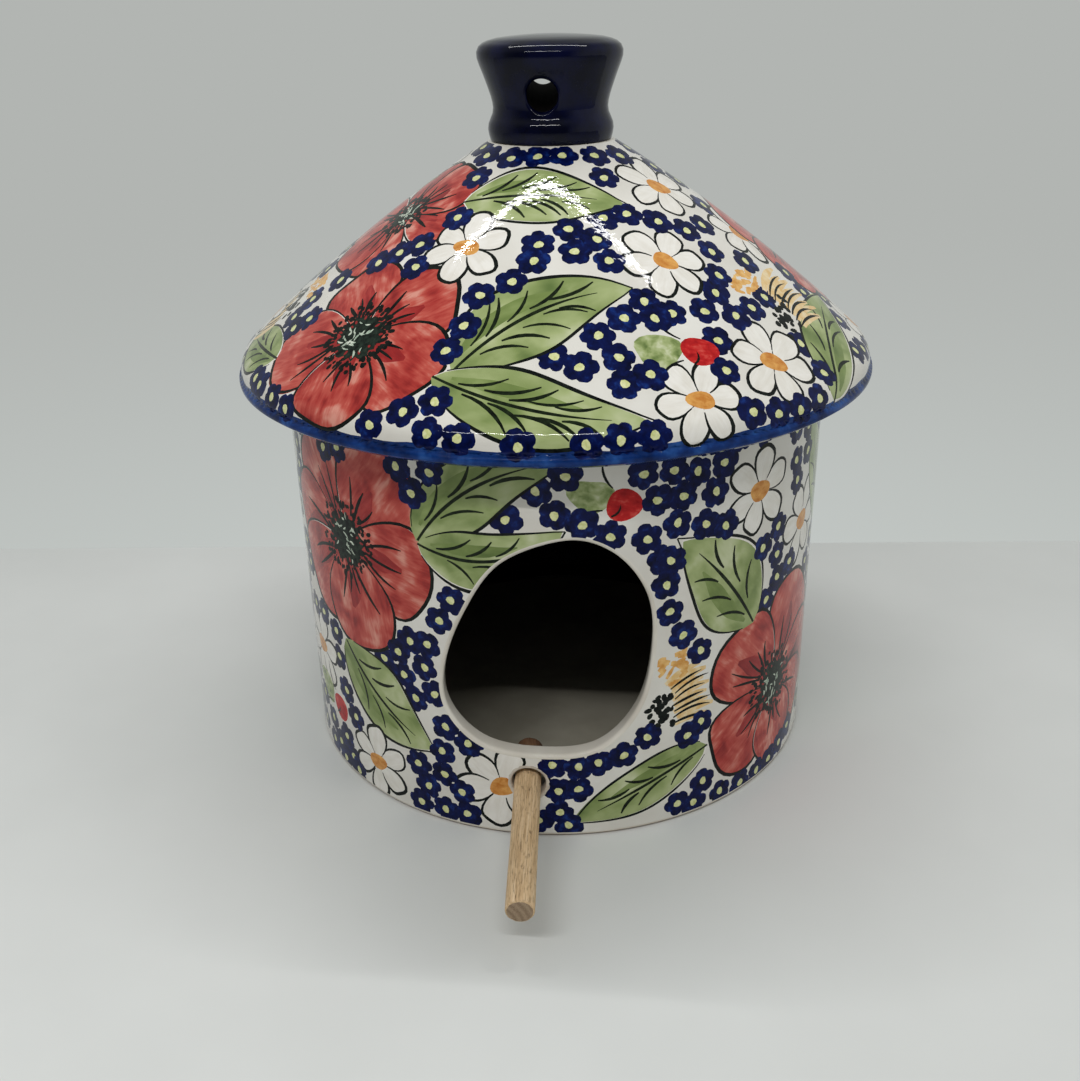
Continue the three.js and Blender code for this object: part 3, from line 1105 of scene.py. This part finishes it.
def inner_wall(mesh, bottom, top, holes):
    """The inside of the body between two loops, round its holes, from vertices that are already there."""
    def flat(i):
        p = mesh.points[i]
        return math.atan2(p.x, -p.y) * INNER_R, p.z

    def ordered(loop):
        around = sorted(loop, key=lambda i: flat(i)[0])
        if abs(flat(around[-1])[0]) > math.pi * INNER_R - 1e-3:
            around = around[-1:] + around[:-1]
        return around

    edge = math.pi * INNER_R
    columns, levels = 72, 18
    low, high = ordered(bottom), ordered(top)
    known, outline = [], []

    def put(index, point):
        known.append(index)
        outline.append(point)

    put(low[0], (-edge, flat(low[0])[1]))
    for i in low[1:]:
        put(i, flat(i))
    put(low[0], (edge, flat(low[0])[1]))
    heights = [WALL_TOP * k / levels for k in range(1, levels)]
    seam = [mesh.vertex(azimuth_point(math.pi, INNER_R, z)) for z in heights]
    for i, z in zip(seam, heights):
        put(i, (edge, z))
    put(high[0], (edge, flat(high[0])[1]))
    for i in high[:0:-1]:
        put(i, flat(i))
    put(high[0], (-edge, flat(high[0])[1]))
    for i, z in zip(seam[::-1], heights[::-1]):
        put(i, (-edge, z))
    shapes = [(outline, "inside_brown", None)]
    for hole in holes:
        shapes.append(([flat(i) for i in hole[::-1]], None, None))
        known.extend(hole[::-1])
    grid = [
        (-edge + 2 * edge * (i + 0.3 + 0.5 * (j % 2)) / columns, WALL_TOP * j / levels)
        for j in range(1, levels) for i in range(columns)
    ]
    points, sources, triangles, _ = cut(shapes, grid)
    number = {}
    for corners in triangles:
        for c in corners:
            if c in number:
                continue
            source = next((s for s in sources[c] if s < len(known)), None)
            if source is None:
                number[c] = mesh.vertex(azimuth_point(points[c][0] / INNER_R, INNER_R, points[c][1]))
            else:
                number[c] = known[source]
    for corners in triangles:
        spread = [(0.94 + 0.0002 * points[c][1], 0.01 + 0.9 * (points[c][0] / edge + 1) / 2)
                  for c in corners]
        mesh.face(tuple(number[c] for c in corners)[::-1], "inside_brown", spread[::-1])


def build_body():
    mesh = Mesh()
    loops = painted_skin(mesh, body_surface, paint_body(), lay_out_body)
    heights = [sum(mesh.points[i].z for i in loop) / len(loop) for loop in loops]
    loops = [loop for _, loop in sorted(zip(heights, loops))]
    bottom, perch_loop, entrance_loop, top = loops
    foot = [(BODY_R - FOOT_ROUNDING * (1 - math.cos(angle)), FOOT_ROUNDING * (1 - math.sin(angle)))
            for angle in QUARTER_TURN]
    foot += [(INNER_R + 0.6, 0.0), (INNER_R, 0.5)]
    # two rows of the foot's rounding take the brown band
    paints = ["rim_cream"] * 2 + ["foot_brown_band"] * 2 + ["bare_clay"] * 4
    inner_bottom = mesh.rows(bottom, turned_rows(mesh, bottom, foot), paints,
                             side_strip(0.975, 0.004, 8, len(bottom)))
    shoulder = [(BODY_R - 0.5, WALL_SHOULDER + 0.5), (INNER_R, WALL_TOP)]
    inner_top = mesh.rows(top, turned_rows(mesh, top, shoulder), "rim_cream",
                          side_strip(0.98, 0.002, 2, len(top)))
    rim = through_wall(mesh, entrance_loop, ENTRANCE_TURN, lambda z: BODY_R, ENTRANCE_LIP, INNER_R)
    inner_entrance = mesh.rows(entrance_loop, rim, "rim_cream",
                               side_strip(0.983, 0.008, 11, len(entrance_loop)))
    rim = through_wall(mesh, perch_loop, 0.0, lambda z: BODY_R, PERCH_HOLE_LIP, INNER_R)
    inner_perch = mesh.rows(perch_loop, rim, "bare_clay", side_strip(0.993, 0.004, 11, len(perch_loop)))
    inner_wall(mesh, inner_bottom, inner_top, [inner_entrance, inner_perch])
    mesh.write("house_shell", "house", ["house_wall"], "painted_glaze")


# ---- the painted roof ----
def roof_profile():
    """The outside of the roof, from the knob's seat down to the underside of the lip."""
    centre_r = SHOULDER_R - SHOULDER_ROUNDING
    eave_r = centre_r + SHOULDER_ROUNDING * math.sin(SLOPE_EAVE)
    rate = (SLOPE_EAVE - SLOPE_TOP) / (eave_r - SEAT_R)

    def height(r):
        slope = SLOPE_TOP + rate * (r - SEAT_R)
        return SEAT_Z + math.log(math.cos(slope) / math.cos(SLOPE_TOP)) / rate

    points = [(SEAT_R + (eave_r - SEAT_R) * k / 60, height(SEAT_R + (eave_r - SEAT_R) * k / 60))
              for k in range(60)]
    centre_z = height(eave_r) - SHOULDER_ROUNDING * math.cos(SLOPE_EAVE)
    for k in range(15):
        a = SLOPE_EAVE + (math.radians(86) - SLOPE_EAVE) * k / 14
        points.append((centre_r + SHOULDER_ROUNDING * math.sin(a),
                       centre_z + SHOULDER_ROUNDING * math.cos(a)))
    lip_r = LIP_R - LIP_ROUNDING
    lip_z = ROOF_LOW.z + LIP_ROUNDING
    first = math.radians(55)
    start = points[-1]
    end = (lip_r + LIP_ROUNDING * math.sin(first), lip_z + LIP_ROUNDING * math.cos(first))
    groove = (SHOULDER_R - 1.0, end[1] + 0.05)
    for k in range(1, 8):
        t = k / 8
        points.append(tuple((1 - t) ** 2 * a + 2 * t * (1 - t) * g + t * t * b
                            for a, g, b in zip(start, groove, end)))
    for k in range(13):
        a = first + (math.pi - first) * k / 12
        points.append((lip_r + LIP_ROUNDING * math.sin(a), lip_z + LIP_ROUNDING * math.cos(a)))
    return Profile(points)


ROOF_SPREAD = math.cos(math.radians(36.5))
roof_surface = Fan(roof_profile(), ROOF_SPREAD, SEAT_R / ROOF_SPREAD)
on_roof = roof_surface.flat
LIP_PAINT_START = 101.2
FLORETS_END = 99

ROOF_FLORETS = [
    (-46, 5), (-23, 5), (-4, 4), (15, 4), (39, 5), (61, 6), (-37, 14), (35, 14), (-30, 30), (-37, 41),
    (-43, 45), (-48, 50), (-58, 60), (-55, 74), (-58, 79), (-33, 49), (12, 33), (20, 37), (2, 38),
    (13, 41), (22, 45), (1, 44), (-4, 51), (-11, 56), (-12, 66), (-14, 74), (35, 29), (45, 33), (54, 38),
    (56, 47), (51, 55), (66, 54), (64, 38), (53, 68), (40, 65), (32, 64), (27, 59), (28, 65), (21, 64),
    (15, 69), (18, 76), (11, 78), (18, 84), (23, 82), (37, 84), (47, 69), (58, 93), (53, 99), (48, 100),
    (43, 99), (38, 97), (-56, 97), (-53, 98), (-47, 99), (-42, 100), (-18, 93), (-13, 89), (-23, 98),
    (-13, 98), (-8, 99), (1, 100), (11, 100), (16, 99), (21, 99), (81, 64),
]


ROOF_MOTIFS = [
    (poppy, (-60, 33), [(60, 22), (150, 24), (240, 24), (330, 23), (15, 24), (200, 25)], 5.5),
    (poppy, (-35, 74), [(98, 26), (21, 29), (173, 31), (319, 29), (251, 27)], 7.5),
    (leaf, (-33, 24), (36, 25), 21, -0.02, 5),
    (leaf, (-12, 81), (25, 55), 23, 0.08, 5),
    (leaf, (-15, 82), (21, 95), 20, -0.10, 5),
    (leaf, (57, 102), (86, 77), 20, 0.05),
    (leaf, (-54, 89), (-76, 92), 17, 0.03),
    (daisy, (-20, 40), 12.5, 12),
    (daisy, (63, 21), 13, 0),
    (daisy, (38, 47), 12.5, 25),
    (daisy, (80, 46), 13, 10),
    (daisy, (48, 85), 13.5, 5),
    (daisy, (30, 91), 12.5, 20),
    (bud, (34, 77), (26, 75)),
    (straw, (61, 74), (57, 60), 60, 16),
    (straw, (-72, 74), (-68, 66), 160),
    # the side away from the camera
    (poppy, (104, 60), [(60, 28), (130, 28), (200, 29), (270, 28), (340, 29)], 7.5),
    (poppy, (168, 70), [(100, 28), (30, 29), (170, 28), (240, 29), (310, 28)], 7.5),
    (poppy, (-122, 66), [(80, 29), (150, 28), (220, 29), (290, 28), (10, 29)], 7.5),
    (leaf, (96, 26), (128, 20), 15, 0.03),
    (leaf, (128, 88), (148, 54), 21, 0.05),
    (leaf, (132, 96), (152, 92), 15, -0.03),
    (leaf, (-168, 40), (-142, 24), 16, 0.04),
    (leaf, (-162, 92), (-144, 64), 19, 0.05),
    (leaf, (-96, 92), (-86, 52), 19, 0.05),
    (leaf, (-104, 34), (-80, 18), 15, 0.05),
    (daisy, (120, 94), 12, 8),
    (daisy, (150, 32), 12, 16),
    (daisy, (-146, 92), 12, 24),
    (daisy, (-100, 12), 12, 2),
    (daisy, (92, 92), 12, 12),
    (daisy, (-82, 84), 11, 12),
    (bud, (-128, 36), (-136, 36), 4.8),
    (bud, (-108, 96), (-114, 96), 4.8),
]


def paint_roof():
    picture = Picture(roof_surface.domain(), "ground", roof_surface.over_seam)
    band = [
        on_roof(-180 + 2 * k, LIP_PAINT_START + 0.3 * math.sin(TURN * 19 * k / 180)
                + 0.2 * math.sin(TURN * 43 * k / 180))
        for k in range(181)
    ]
    beyond = [on_roof(180 - 4 * k, roof_surface.profile.length + 3) for k in range(91)]
    picture.add(band + beyond, "lip_blue")
    paint_flowers(
        picture, on_roof, ROOF_MOTIFS, ROOF_FLORETS,
        lambda: on_roof(dice.uniform(-180, 180), FLORETS_END * math.sqrt(dice.uniform(0.0, 1))),
    )
    return picture.shapes


def lay_out_roof(flat):
    """The fan itself, scaled to the bake layout."""
    scale = 0.98 / (2 * roof_surface.last)
    return [(0.5 + x * scale, 0.005 + (y + roof_surface.last) * scale) for x, y in flat]


def build_roof():
    mesh = Mesh()
    loops = painted_skin(mesh, roof_surface, paint_roof(), lay_out_roof)
    lip, seat = sorted(loops, key=len)[:-3:-1]
    inside_points = []
    profile = roof_surface.profile
    for k in range(13):
        s = CONE_LENGTH * (12 - k) / 12
        r, z, out, up = profile.look(s)
        inside_points.append((r - out * WALL, z - up * WALL))
    rim = [(LIP_R - LIP_ROUNDING - 1.2, ROOF_LOW.z), (RIM_INSIDE_R + 0.9, ROOF_LOW.z),
           (RIM_INSIDE_R + 0.25, ROOF_LOW.z + 0.25), (RIM_INSIDE_R, ROOF_LOW.z + 0.9)]
    rows = rim + inside_points
    paints = ["lip_blue"] * 2 + ["rim_cream"] * 3 + ["inside_brown"] * (len(rows) - 5)
    last = mesh.rows(lip, turned_rows(mesh, lip, rows), paints,
                     lambda i, k: (0.02 + 0.96 * i / len(lip), 0.93 + 0.06 * k / len(rows)))
    mesh.cap(last, (0, 0, inside_points[-1][1] + 1.0), "inside_brown", (0.5, 0.985))
    seat_rows = turned_rows(mesh, seat, [(SEAT_R - 3, SEAT_Z)])
    last = mesh.rows(seat, seat_rows, "rim_cream",
                     lambda i, k: (0.02 + 0.96 * i / len(seat), 0.992 + 0.003 * k))
    mesh.cap(last, (0, 0, SEAT_Z), "rim_cream", (0.5, 0.995))
    mesh.write("roof_shell", "house", ["roof"], "painted_glaze")


# ---- the knob ----
KNOB_PROFILE = [
    (18.0, 218.4), (19.9, 217.6), (21.0, 216.4), (21.4, 214.8), (21.0, 212.8), (19.4, 208.6),
    (17.6, 203.4), (17.0, 200.4), (17.35, 198.2), (18.2, 196.6), (18.65, 194.8), (18.5, 193.0),
    (18.0, 191.2),
]
KNOB_LIP = 1.1
KNOB_TOP_ROWS = [(15.5, 219.0), (12.0, 219.4), (8.0, 219.7), (4.0, 219.9)]
KNOB_CROWN = KNOB_HIGH.z + 0.65
KNOB_FOOT_ROWS = [(17.4, KNOB_LOW.z), (15.0, KNOB_LOW.z)]
KNOB_STEP = 1.6
# no daylight shows through the hole in the photo, so it was pierced a little askew
BACK_MOUTH_TURN = BORE_TURN + math.radians(15)
BACK_MOUTH_RISE = 5.2


def disc_layout(centre, count):
    """Bake layout for rows that close in on a middle point."""
    return lambda i, k: polar(centre, 360 * i / count, 0.18 - 0.04 * k)


def build_knob():
    profile = Profile(catmull(KNOB_PROFILE, 6))
    surface = Strip(profile, 18.5)
    heights = sorted((z, r) for r, z in profile.points)

    def radius_at(z):
        (za, ra), (zb, rb) = next(
            (low, high) for low, high in zip(heights, heights[1:]) if low[0] <= z <= high[0]
        )
        return ra + (rb - ra) * (z - za) / (zb - za)

    def distance_at(z):
        """How far down the profile a height is."""
        low, high = 0.0, profile.length
        for _ in range(40):
            middle = (low + high) / 2
            if profile.look(middle)[1] > z:
                low = middle
            else:
                high = middle
        return low

    def bore_mouth(turn, rise=0.0):
        mouth = []
        for k in range(40):
            a, dz = polar((0, 0), 9 * k, BORE_R + KNOB_LIP)
            z = BORE_Z + rise + dz
            azimuth = turn + math.asin(a / radius_at(z))
            azimuth = (azimuth + math.pi) % TURN - math.pi
            mouth.append((azimuth * surface.radius, profile.length - distance_at(z)))
        return mouth

    mesh = Mesh()
    # the seam is turned to the side while the skin is cut, away from both mouths
    seam_turn = math.pi / 2
    front = bore_mouth(BORE_TURN + seam_turn)
    back = bore_mouth(BACK_MOUTH_TURN + seam_turn - math.pi, BACK_MOUTH_RISE)
    shapes = [(surface.domain(KNOB_STEP), "cobalt", None), (front, None, None), (back, None, None)]
    surface.grid = lambda: Strip.grid(surface, KNOB_STEP)
    loops = painted_skin(mesh, surface, shapes, lambda flat: [
        (0.5 + x / 130, 0.02 + y / 130) for x, y in flat])
    spin = Matrix.Rotation(-seam_turn, 3, "Z")
    mesh.points = [spin @ p for p in mesh.points]
    mesh.normals = [spin @ n for n in mesh.normals]
    by_height = sorted(loops, key=lambda loop: sum(mesh.points[i].z for i in loop) / len(loop))
    foot, top = by_height[0], by_height[-1]
    mouths = sorted(by_height[1:3], key=lambda loop: sum(mesh.points[i].y for i in loop))
    front_end, back_end = [
        mesh.rows(loop, through_wall(mesh, loop, turn, radius_at, KNOB_LIP), "cobalt",
                  lambda i, k: (0.9 + 0.01 * k, 0.02 + 0.02 * i))
        for loop, turn in zip(mouths, (BORE_TURN, BACK_MOUTH_TURN + math.pi))
    ]
    side = Vector((math.cos(BORE_TURN), math.sin(BORE_TURN), 0))

    def round_the_bore(end):
        """A mouth's vertices by their angle about its middle, so that both mouths pair up."""
        middle = sum((mesh.points[i] for i in end), Vector()) / len(end)
        return sorted(end, key=lambda i: math.atan2(
            mesh.points[i].z - middle.z, (mesh.points[i] - middle).dot(side)))

    front_sorted, back_sorted = round_the_bore(front_end), round_the_bore(back_end)
    if front_end[(front_end.index(front_sorted[0]) + 1) % len(front_end)] != front_sorted[1]:
        front_sorted.reverse()
        back_sorted.reverse()
    rows = [
        [mesh.points[a].lerp(mesh.points[b], k / 12) for a, b in zip(front_sorted, back_sorted)]
        for k in range(1, 12)
    ]
    # the bore's walls take the painted shadow material
    mesh.rows(front_sorted, rows + [back_sorted], "bore_painted_shadow",
              lambda i, k: (0.02 + 0.02 * i, 0.5 + 0.02 * k))
    ends = ((top, KNOB_TOP_ROWS, KNOB_CROWN, (0.2, 0.75)), (foot, KNOB_FOOT_ROWS, KNOB_LOW.z, (0.6, 0.75)))
    for loop, profile_rows, middle_z, centre in ends:
        last = mesh.rows(loop, turned_rows(mesh, loop, profile_rows), "cobalt",
                         disc_layout(centre, len(loop)))
        mesh.cap(last, (0, 0, middle_z), "cobalt", centre)
    mesh.write("knob_glazed", "house", ["hanging_knob", "knob_luting_ring"], "cobalt_glaze")


# ---- other turned pieces ----
TURNED_SEGMENTS = 144
FOOT_CLEAR = 3


def turned_piece(name, profile, paint, replaced, slot, waves=0.0):
    """A ring or a disc turned from its outline, which runs from the top down outside. A disc's outline
    starts and ends on the axis. waves is the height of the ripples in whatever lies above the foot."""
    mesh = Mesh()
    rows = []
    for r, z in profile:
        row = []
        for i in range(TURNED_SEGMENTS):
            azimuth = TURN * i / TURNED_SEGMENTS
            lift = waves * (math.sin(3 * azimuth + r * 0.9) + math.sin(r * 0.55 + azimuth))
            row.append(azimuth_point(azimuth, r, z + (lift if z > FOOT_CLEAR else 0)))
        rows.append(row)
    if profile[0][0] > 0:
        first = [mesh.vertex(p) for p in rows[0]]
        mesh.rows(first, rows[1:] + [first], paint)
    else:
        top = mesh.vertex((0, 0, profile[0][1]))
        first = [mesh.vertex(p) for p in rows[1]]
        for i in range(TURNED_SEGMENTS):
            mesh.face((top, first[i], first[(i + 1) % TURNED_SEGMENTS]), paint)
        last = mesh.rows(first, rows[2:-1], paint)
        mesh.cap(last, (0, 0, profile[-1][1]), paint)
    mesh.write(name, "house", replaced, slot, baked=False)


def build_floor():
    _, high = box_mm("floor_slab")
    radius, top = high.x, high.z
    profile = [(0.0, top)] + [(r, top) for r in range(2, 78, 2)]
    profile += [(radius - 1.5, top), (radius - 0.4, top - 0.4), (radius, top - 1.5), (radius, 1.0),
                (radius - 1.0, 0.0), (40.0, 0.0), (0.0, 0.0)]
    # the floor's cream is painted darker, as painted shade inside the house
    turned_piece("floor_slab_glazed", profile, "floor_cream_shaded", ["floor_slab"], "clear_glaze", waves=0.03)


def build_coils():
    """The rolls of clay under the eave and round the floor, each smeared into its corner by a finger."""
    low, high = box_mm("floor_luting_ring")
    outer = high.x
    leg = high.z - low.z
    profile = [(outer, high.z), (outer, low.z), (outer - leg, low.z)]
    for k in range(1, 8):
        t = k / 8
        a = math.pi / 2 * t
        profile.append((outer - leg * (math.cos(a) - 0.18 * math.sin(2 * a)),
                        low.z + leg * (0.62 * math.sin(a) + 0.38 * t ** 2)))
    turned_piece("floor_coil_smeared", profile, "inside_brown", ["floor_luting_ring"], "inside_glaze")
    low, high = box_mm("roof_luting_ring")
    outer = high.x
    inner = BODY_R + GAP
    slope = math.tan(SLOPE_EAVE - 0.02)
    top_outer = high.z - (outer - inner) * slope
    profile = [(inner, high.z), (inner, low.z)]
    for k in range(1, 8):
        t = k / 8
        profile.append((inner + (outer - inner) * (t + 0.12 * math.sin(math.pi * t)),
                        low.z + (top_outer - low.z) * (t - 0.10 * math.sin(math.pi * t))))
    profile.append((outer, top_outer))
    turned_piece("eave_coil_smeared", profile[::-1], "rim_cream", ["roof_luting_ring"], "clear_glaze")


# ---- the perch ----
def wood():
    """Beech dowel: fine pores and streaks along the grain, growth rings on the ends, darker and redder
    towards the inner end.
    """
    finish = Finish("dowel_wood", 0.62, 0.3)
    grain = finish.strokes()
    streaks = finish.noise(finish.scaled(grain, (0.05, 1.0, 1.0)), 1.6, 5.0, 0.6, 0.2)
    bare = finish.ramp(streaks, [(0.3, (180, 148, 110)), (0.5, (216, 184, 142)), (0.7, (238, 210, 172))])
    pores = finish.noise(finish.scaled(grain, (0.35, 4.5, 4.5)), 1.3, 2.0, 0.5)
    flecks = smooth_step(finish.tree, pores, 0.60, 0.68)
    share = finish.math("MULTIPLY", flecks, 0.55)
    speckled = mix_colours(finish.tree, share, bare, linear(124, 92, 64))
    along = finish.node("SeparateXYZ", {0: grain}).outputs[0]
    # dark reddish brown over the last eleven millimetres to the inner end
    inner_end_darkening = smooth_step(finish.tree, along, -PERCH_INSIDE + 11, -PERCH_INSIDE + 2)
    share = finish.math("MULTIPLY", inner_end_darkening, 0.85)
    finish.colour(mix_colours(finish.tree, share, speckled, linear(84, 42, 24)))
    finish.relief(finish.math("SUBTRACT", streaks, finish.math("MULTIPLY", flecks, 0.6)), 0.0004)

    ends = Finish("dowel_end", 0.75, 0.25)
    off_centre = ends.node("VectorMath", {0: ends.strokes(), 1: (0.0, 9.0, 5.0)}).outputs[0]
    rings = ends.node("TexWave", {"Vector": off_centre, "Scale": 0.16, "Distortion": 1.2, "Detail": 3.0},
                      wave_type="RINGS", rings_direction="X").outputs["Fac"]
    tone = ends.weighted(rings, 0.2, ends.noise(ends.strokes(), 3.0, 4.0), 0.8)
    ends.colour(ends.ramp(tone, [(0.25, (122, 100, 78)), (0.5, (152, 130, 106)), (0.75, (176, 154, 128))]))
    ends.relief(tone, 0.0002)


DOWEL_SEGMENTS = 72
DOWEL_CHAMFER = 0.45
GRAIN_LINES = (5, 9, 14, 23, 31)


def build_perch():
    """The dowel, in its own frame of (along, y, z) and then tilted into place. That frame is its brush."""
    wood()
    mesh = Mesh()
    place = (Matrix.Translation(PERCH_AT) @ Matrix.Rotation(PERCH_YAW, 4, "Z")
             @ Matrix.Rotation(PERCH_DROOP, 4, "X"))
    phases = [(n, dice.uniform(0, TURN), dice.uniform(0.01, 0.03)) for n in GRAIN_LINES]
    outside = PERCH_LENGTH - PERCH_INSIDE
    chamfer = [(DOWEL_CHAMFER, PERCH_R), (0.15, PERCH_R - 0.18), (0.0, PERCH_R - DOWEL_CHAMFER)]
    stations = [(-PERCH_INSIDE + inset, radius) for inset, radius in chamfer[::-1]]
    stations += [(-PERCH_INSIDE + 1.5 + (PERCH_LENGTH - 3) * k / 44, PERCH_R) for k in range(45)]
    stations += [(outside - inset, radius) for inset, radius in chamfer]

    def ring(flat):
        """Vertices with their places in the dowel's own frame."""
        return [(mesh.vertex(place @ Vector((y, -along, z))), (along, y, z)) for along, y, z in flat]

    def point(along, angle, radius):
        grooves = sum(size * math.sin(n * angle + phase + along * 0.012 * n) for n, phase, size in phases)
        r = radius * (1 - 0.006) - 0.05 + grooves * min(1.0, radius / PERCH_R)
        return (along, r * math.cos(angle), r * math.sin(angle))

    def band(near, far, paint, flip=False):
        """Faces between two rings, or from a ring to a middle point."""
        for i in range(DOWEL_SEGMENTS):
            j = (i + 1) % DOWEL_SEGMENTS
            corners = [near[i], near[j]] + ([far[j], far[i]] if len(far) > 1 else far)
            if flip:
                corners.reverse()
            mesh.face(tuple(v for v, _ in corners), paint, None, [p for _, p in corners])

    rings = [
        ring([point(along, TURN * i / DOWEL_SEGMENTS, radius) for i in range(DOWEL_SEGMENTS)])
        for along, radius in stations
    ]
    for near, far in zip(rings, rings[1:]):
        band(near, far, "dowel_wood")
    for edge, outward, paint in ((rings[0], -1, "dowel_wood"), (rings[-1], 1, "dowel_end")):
        along = edge[0][1][0]
        previous = edge
        for share in (0.8, 0.6, 0.4, 0.2):
            rough = [dice.uniform(-0.05, 0.05) for _ in range(DOWEL_SEGMENTS)]
            inner = ring([(along + rough[i] * 0.6 - 0.05 * outward, y * share, z * share)
                          for i, (_, (_, y, z)) in enumerate(edge)])
            band(previous, inner, paint, outward < 0)
            previous = inner
        band(previous, ring([(along - 0.05 * outward, 0.0, 0.0)]), paint, outward < 0)
    mesh.write("perch_dowel", "perch", ["perch"], "dowel_wood", baked=False)


build_body()
build_roof()
build_knob()
build_floor()
build_coils()
build_perch()


# ---- camera, floor and light ----
# the photo's own view, solved from the outlines of the body, roof and knob
CAMERA_LENS = 39.018
CAMERA_AT = Vector((41.297, -364.645, 230.854))
CAMERA_YAW = math.radians(7.393)
CAMERA_PITCH = math.radians(-25.111)
CAMERA_ROLL = math.radians(-1.28)


def build_camera():
    data = bpy.data.cameras.new("camera")
    data.lens = CAMERA_LENS
    data.sensor_width = 36
    camera = bpy.data.objects.new("camera", data)
    bpy.context.scene.collection.objects.link(camera)
    camera.matrix_world = (
        Matrix.Translation(CAMERA_AT * MM)
        @ Matrix.Rotation(CAMERA_YAW, 4, "Z")
        @ Matrix.Rotation(math.pi / 2 + CAMERA_PITCH, 4, "X")
        @ Matrix.Rotation(CAMERA_ROLL, 4, "Z")
    )
    bpy.context.scene.camera = camera


TABLE_TURN = math.radians(5.4)
TABLE_EDGE = 120.5
TABLE_REACH = 1500
LAMP_HEIGHT = 600
LAMP_WIDTH = 11
WALL_LIGHT = linear(178, 181, 178)
WALL_FOOT_LIGHT = linear(194, 199, 196)
CEILING_LIGHT = linear(170, 172, 170)
RIGHT_LIGHT = linear(218, 221, 218)
ROOM_LIGHT = linear(88, 88, 89)


def build_stage():
    mesh = bpy.data.meshes.new("table")
    corners = [(-TABLE_REACH, -TABLE_REACH, 0), (TABLE_REACH, -TABLE_REACH, 0),
               (TABLE_REACH, TABLE_EDGE, 0), (-TABLE_REACH, TABLE_EDGE, 0)]
    turn = Matrix.Rotation(TABLE_TURN, 3, "Z")
    mesh.from_pydata([turn @ Vector(c) * MM for c in corners], [], [(0, 1, 2, 3)])
    finish = Finish("table_top", 0.6)
    finish.colour(finish.ramp(finish.noise(finish.objects, 9, 4.0),
                              [(0.3, (210, 212, 210)), (0.7, (217, 219, 217))]))
    mesh.materials.append(finish.material)
    table = bpy.data.objects.new("table", mesh)
    bpy.context.scene.collection.objects.link(table)


def lamp_bar(name, x, y, length, power):
    """A straight lamp overhead that shines down, across the room."""
    data = bpy.data.lights.new(name, "AREA")
    data.shape = "RECTANGLE"
    data.size = length * MM
    data.size_y = LAMP_WIDTH * MM
    data.energy = power
    light = bpy.data.objects.new(name, data)
    light.location = Vector((x, y, LAMP_HEIGHT)) * MM
    bpy.context.scene.collection.objects.link(light)


def sky(tree):
    """A white tent as the world: pale behind and above, palest on the right, and a dim room in front."""
    way = add_node(tree, "TexCoord").outputs["Generated"]
    split = add_node(tree, "SeparateXYZ", {0: way})
    shade = ROOM_LIGHT
    steps = (("Y", -0.75, 0.0, WALL_LIGHT), ("Z", 0.35, 0.9, CEILING_LIGHT),
             ("Z", -0.15, -0.5, WALL_FOOT_LIGHT), ("X", 0.5, 0.95, RIGHT_LIGHT))
    for axis, low, high, colour in steps:
        shade = mix_colours(tree, smooth_step(tree, split.outputs[axis], low, high), shade, colour)
    tree.links.new(shade, tree.nodes["Background"].inputs["Color"])


def build_light():
    world = bpy.data.worlds.new("studio")
    world.use_nodes = True
    sky(world.node_tree)
    bpy.context.scene.world = world
    lamp_bar("lamp_over", -14, 74, 495, 1.2)
    lamp_bar("lamp_front", -62, -472, 560, 2.3)
    bpy.context.scene.view_settings.view_transform = "Standard"


build_camera()
build_stage()
build_light()
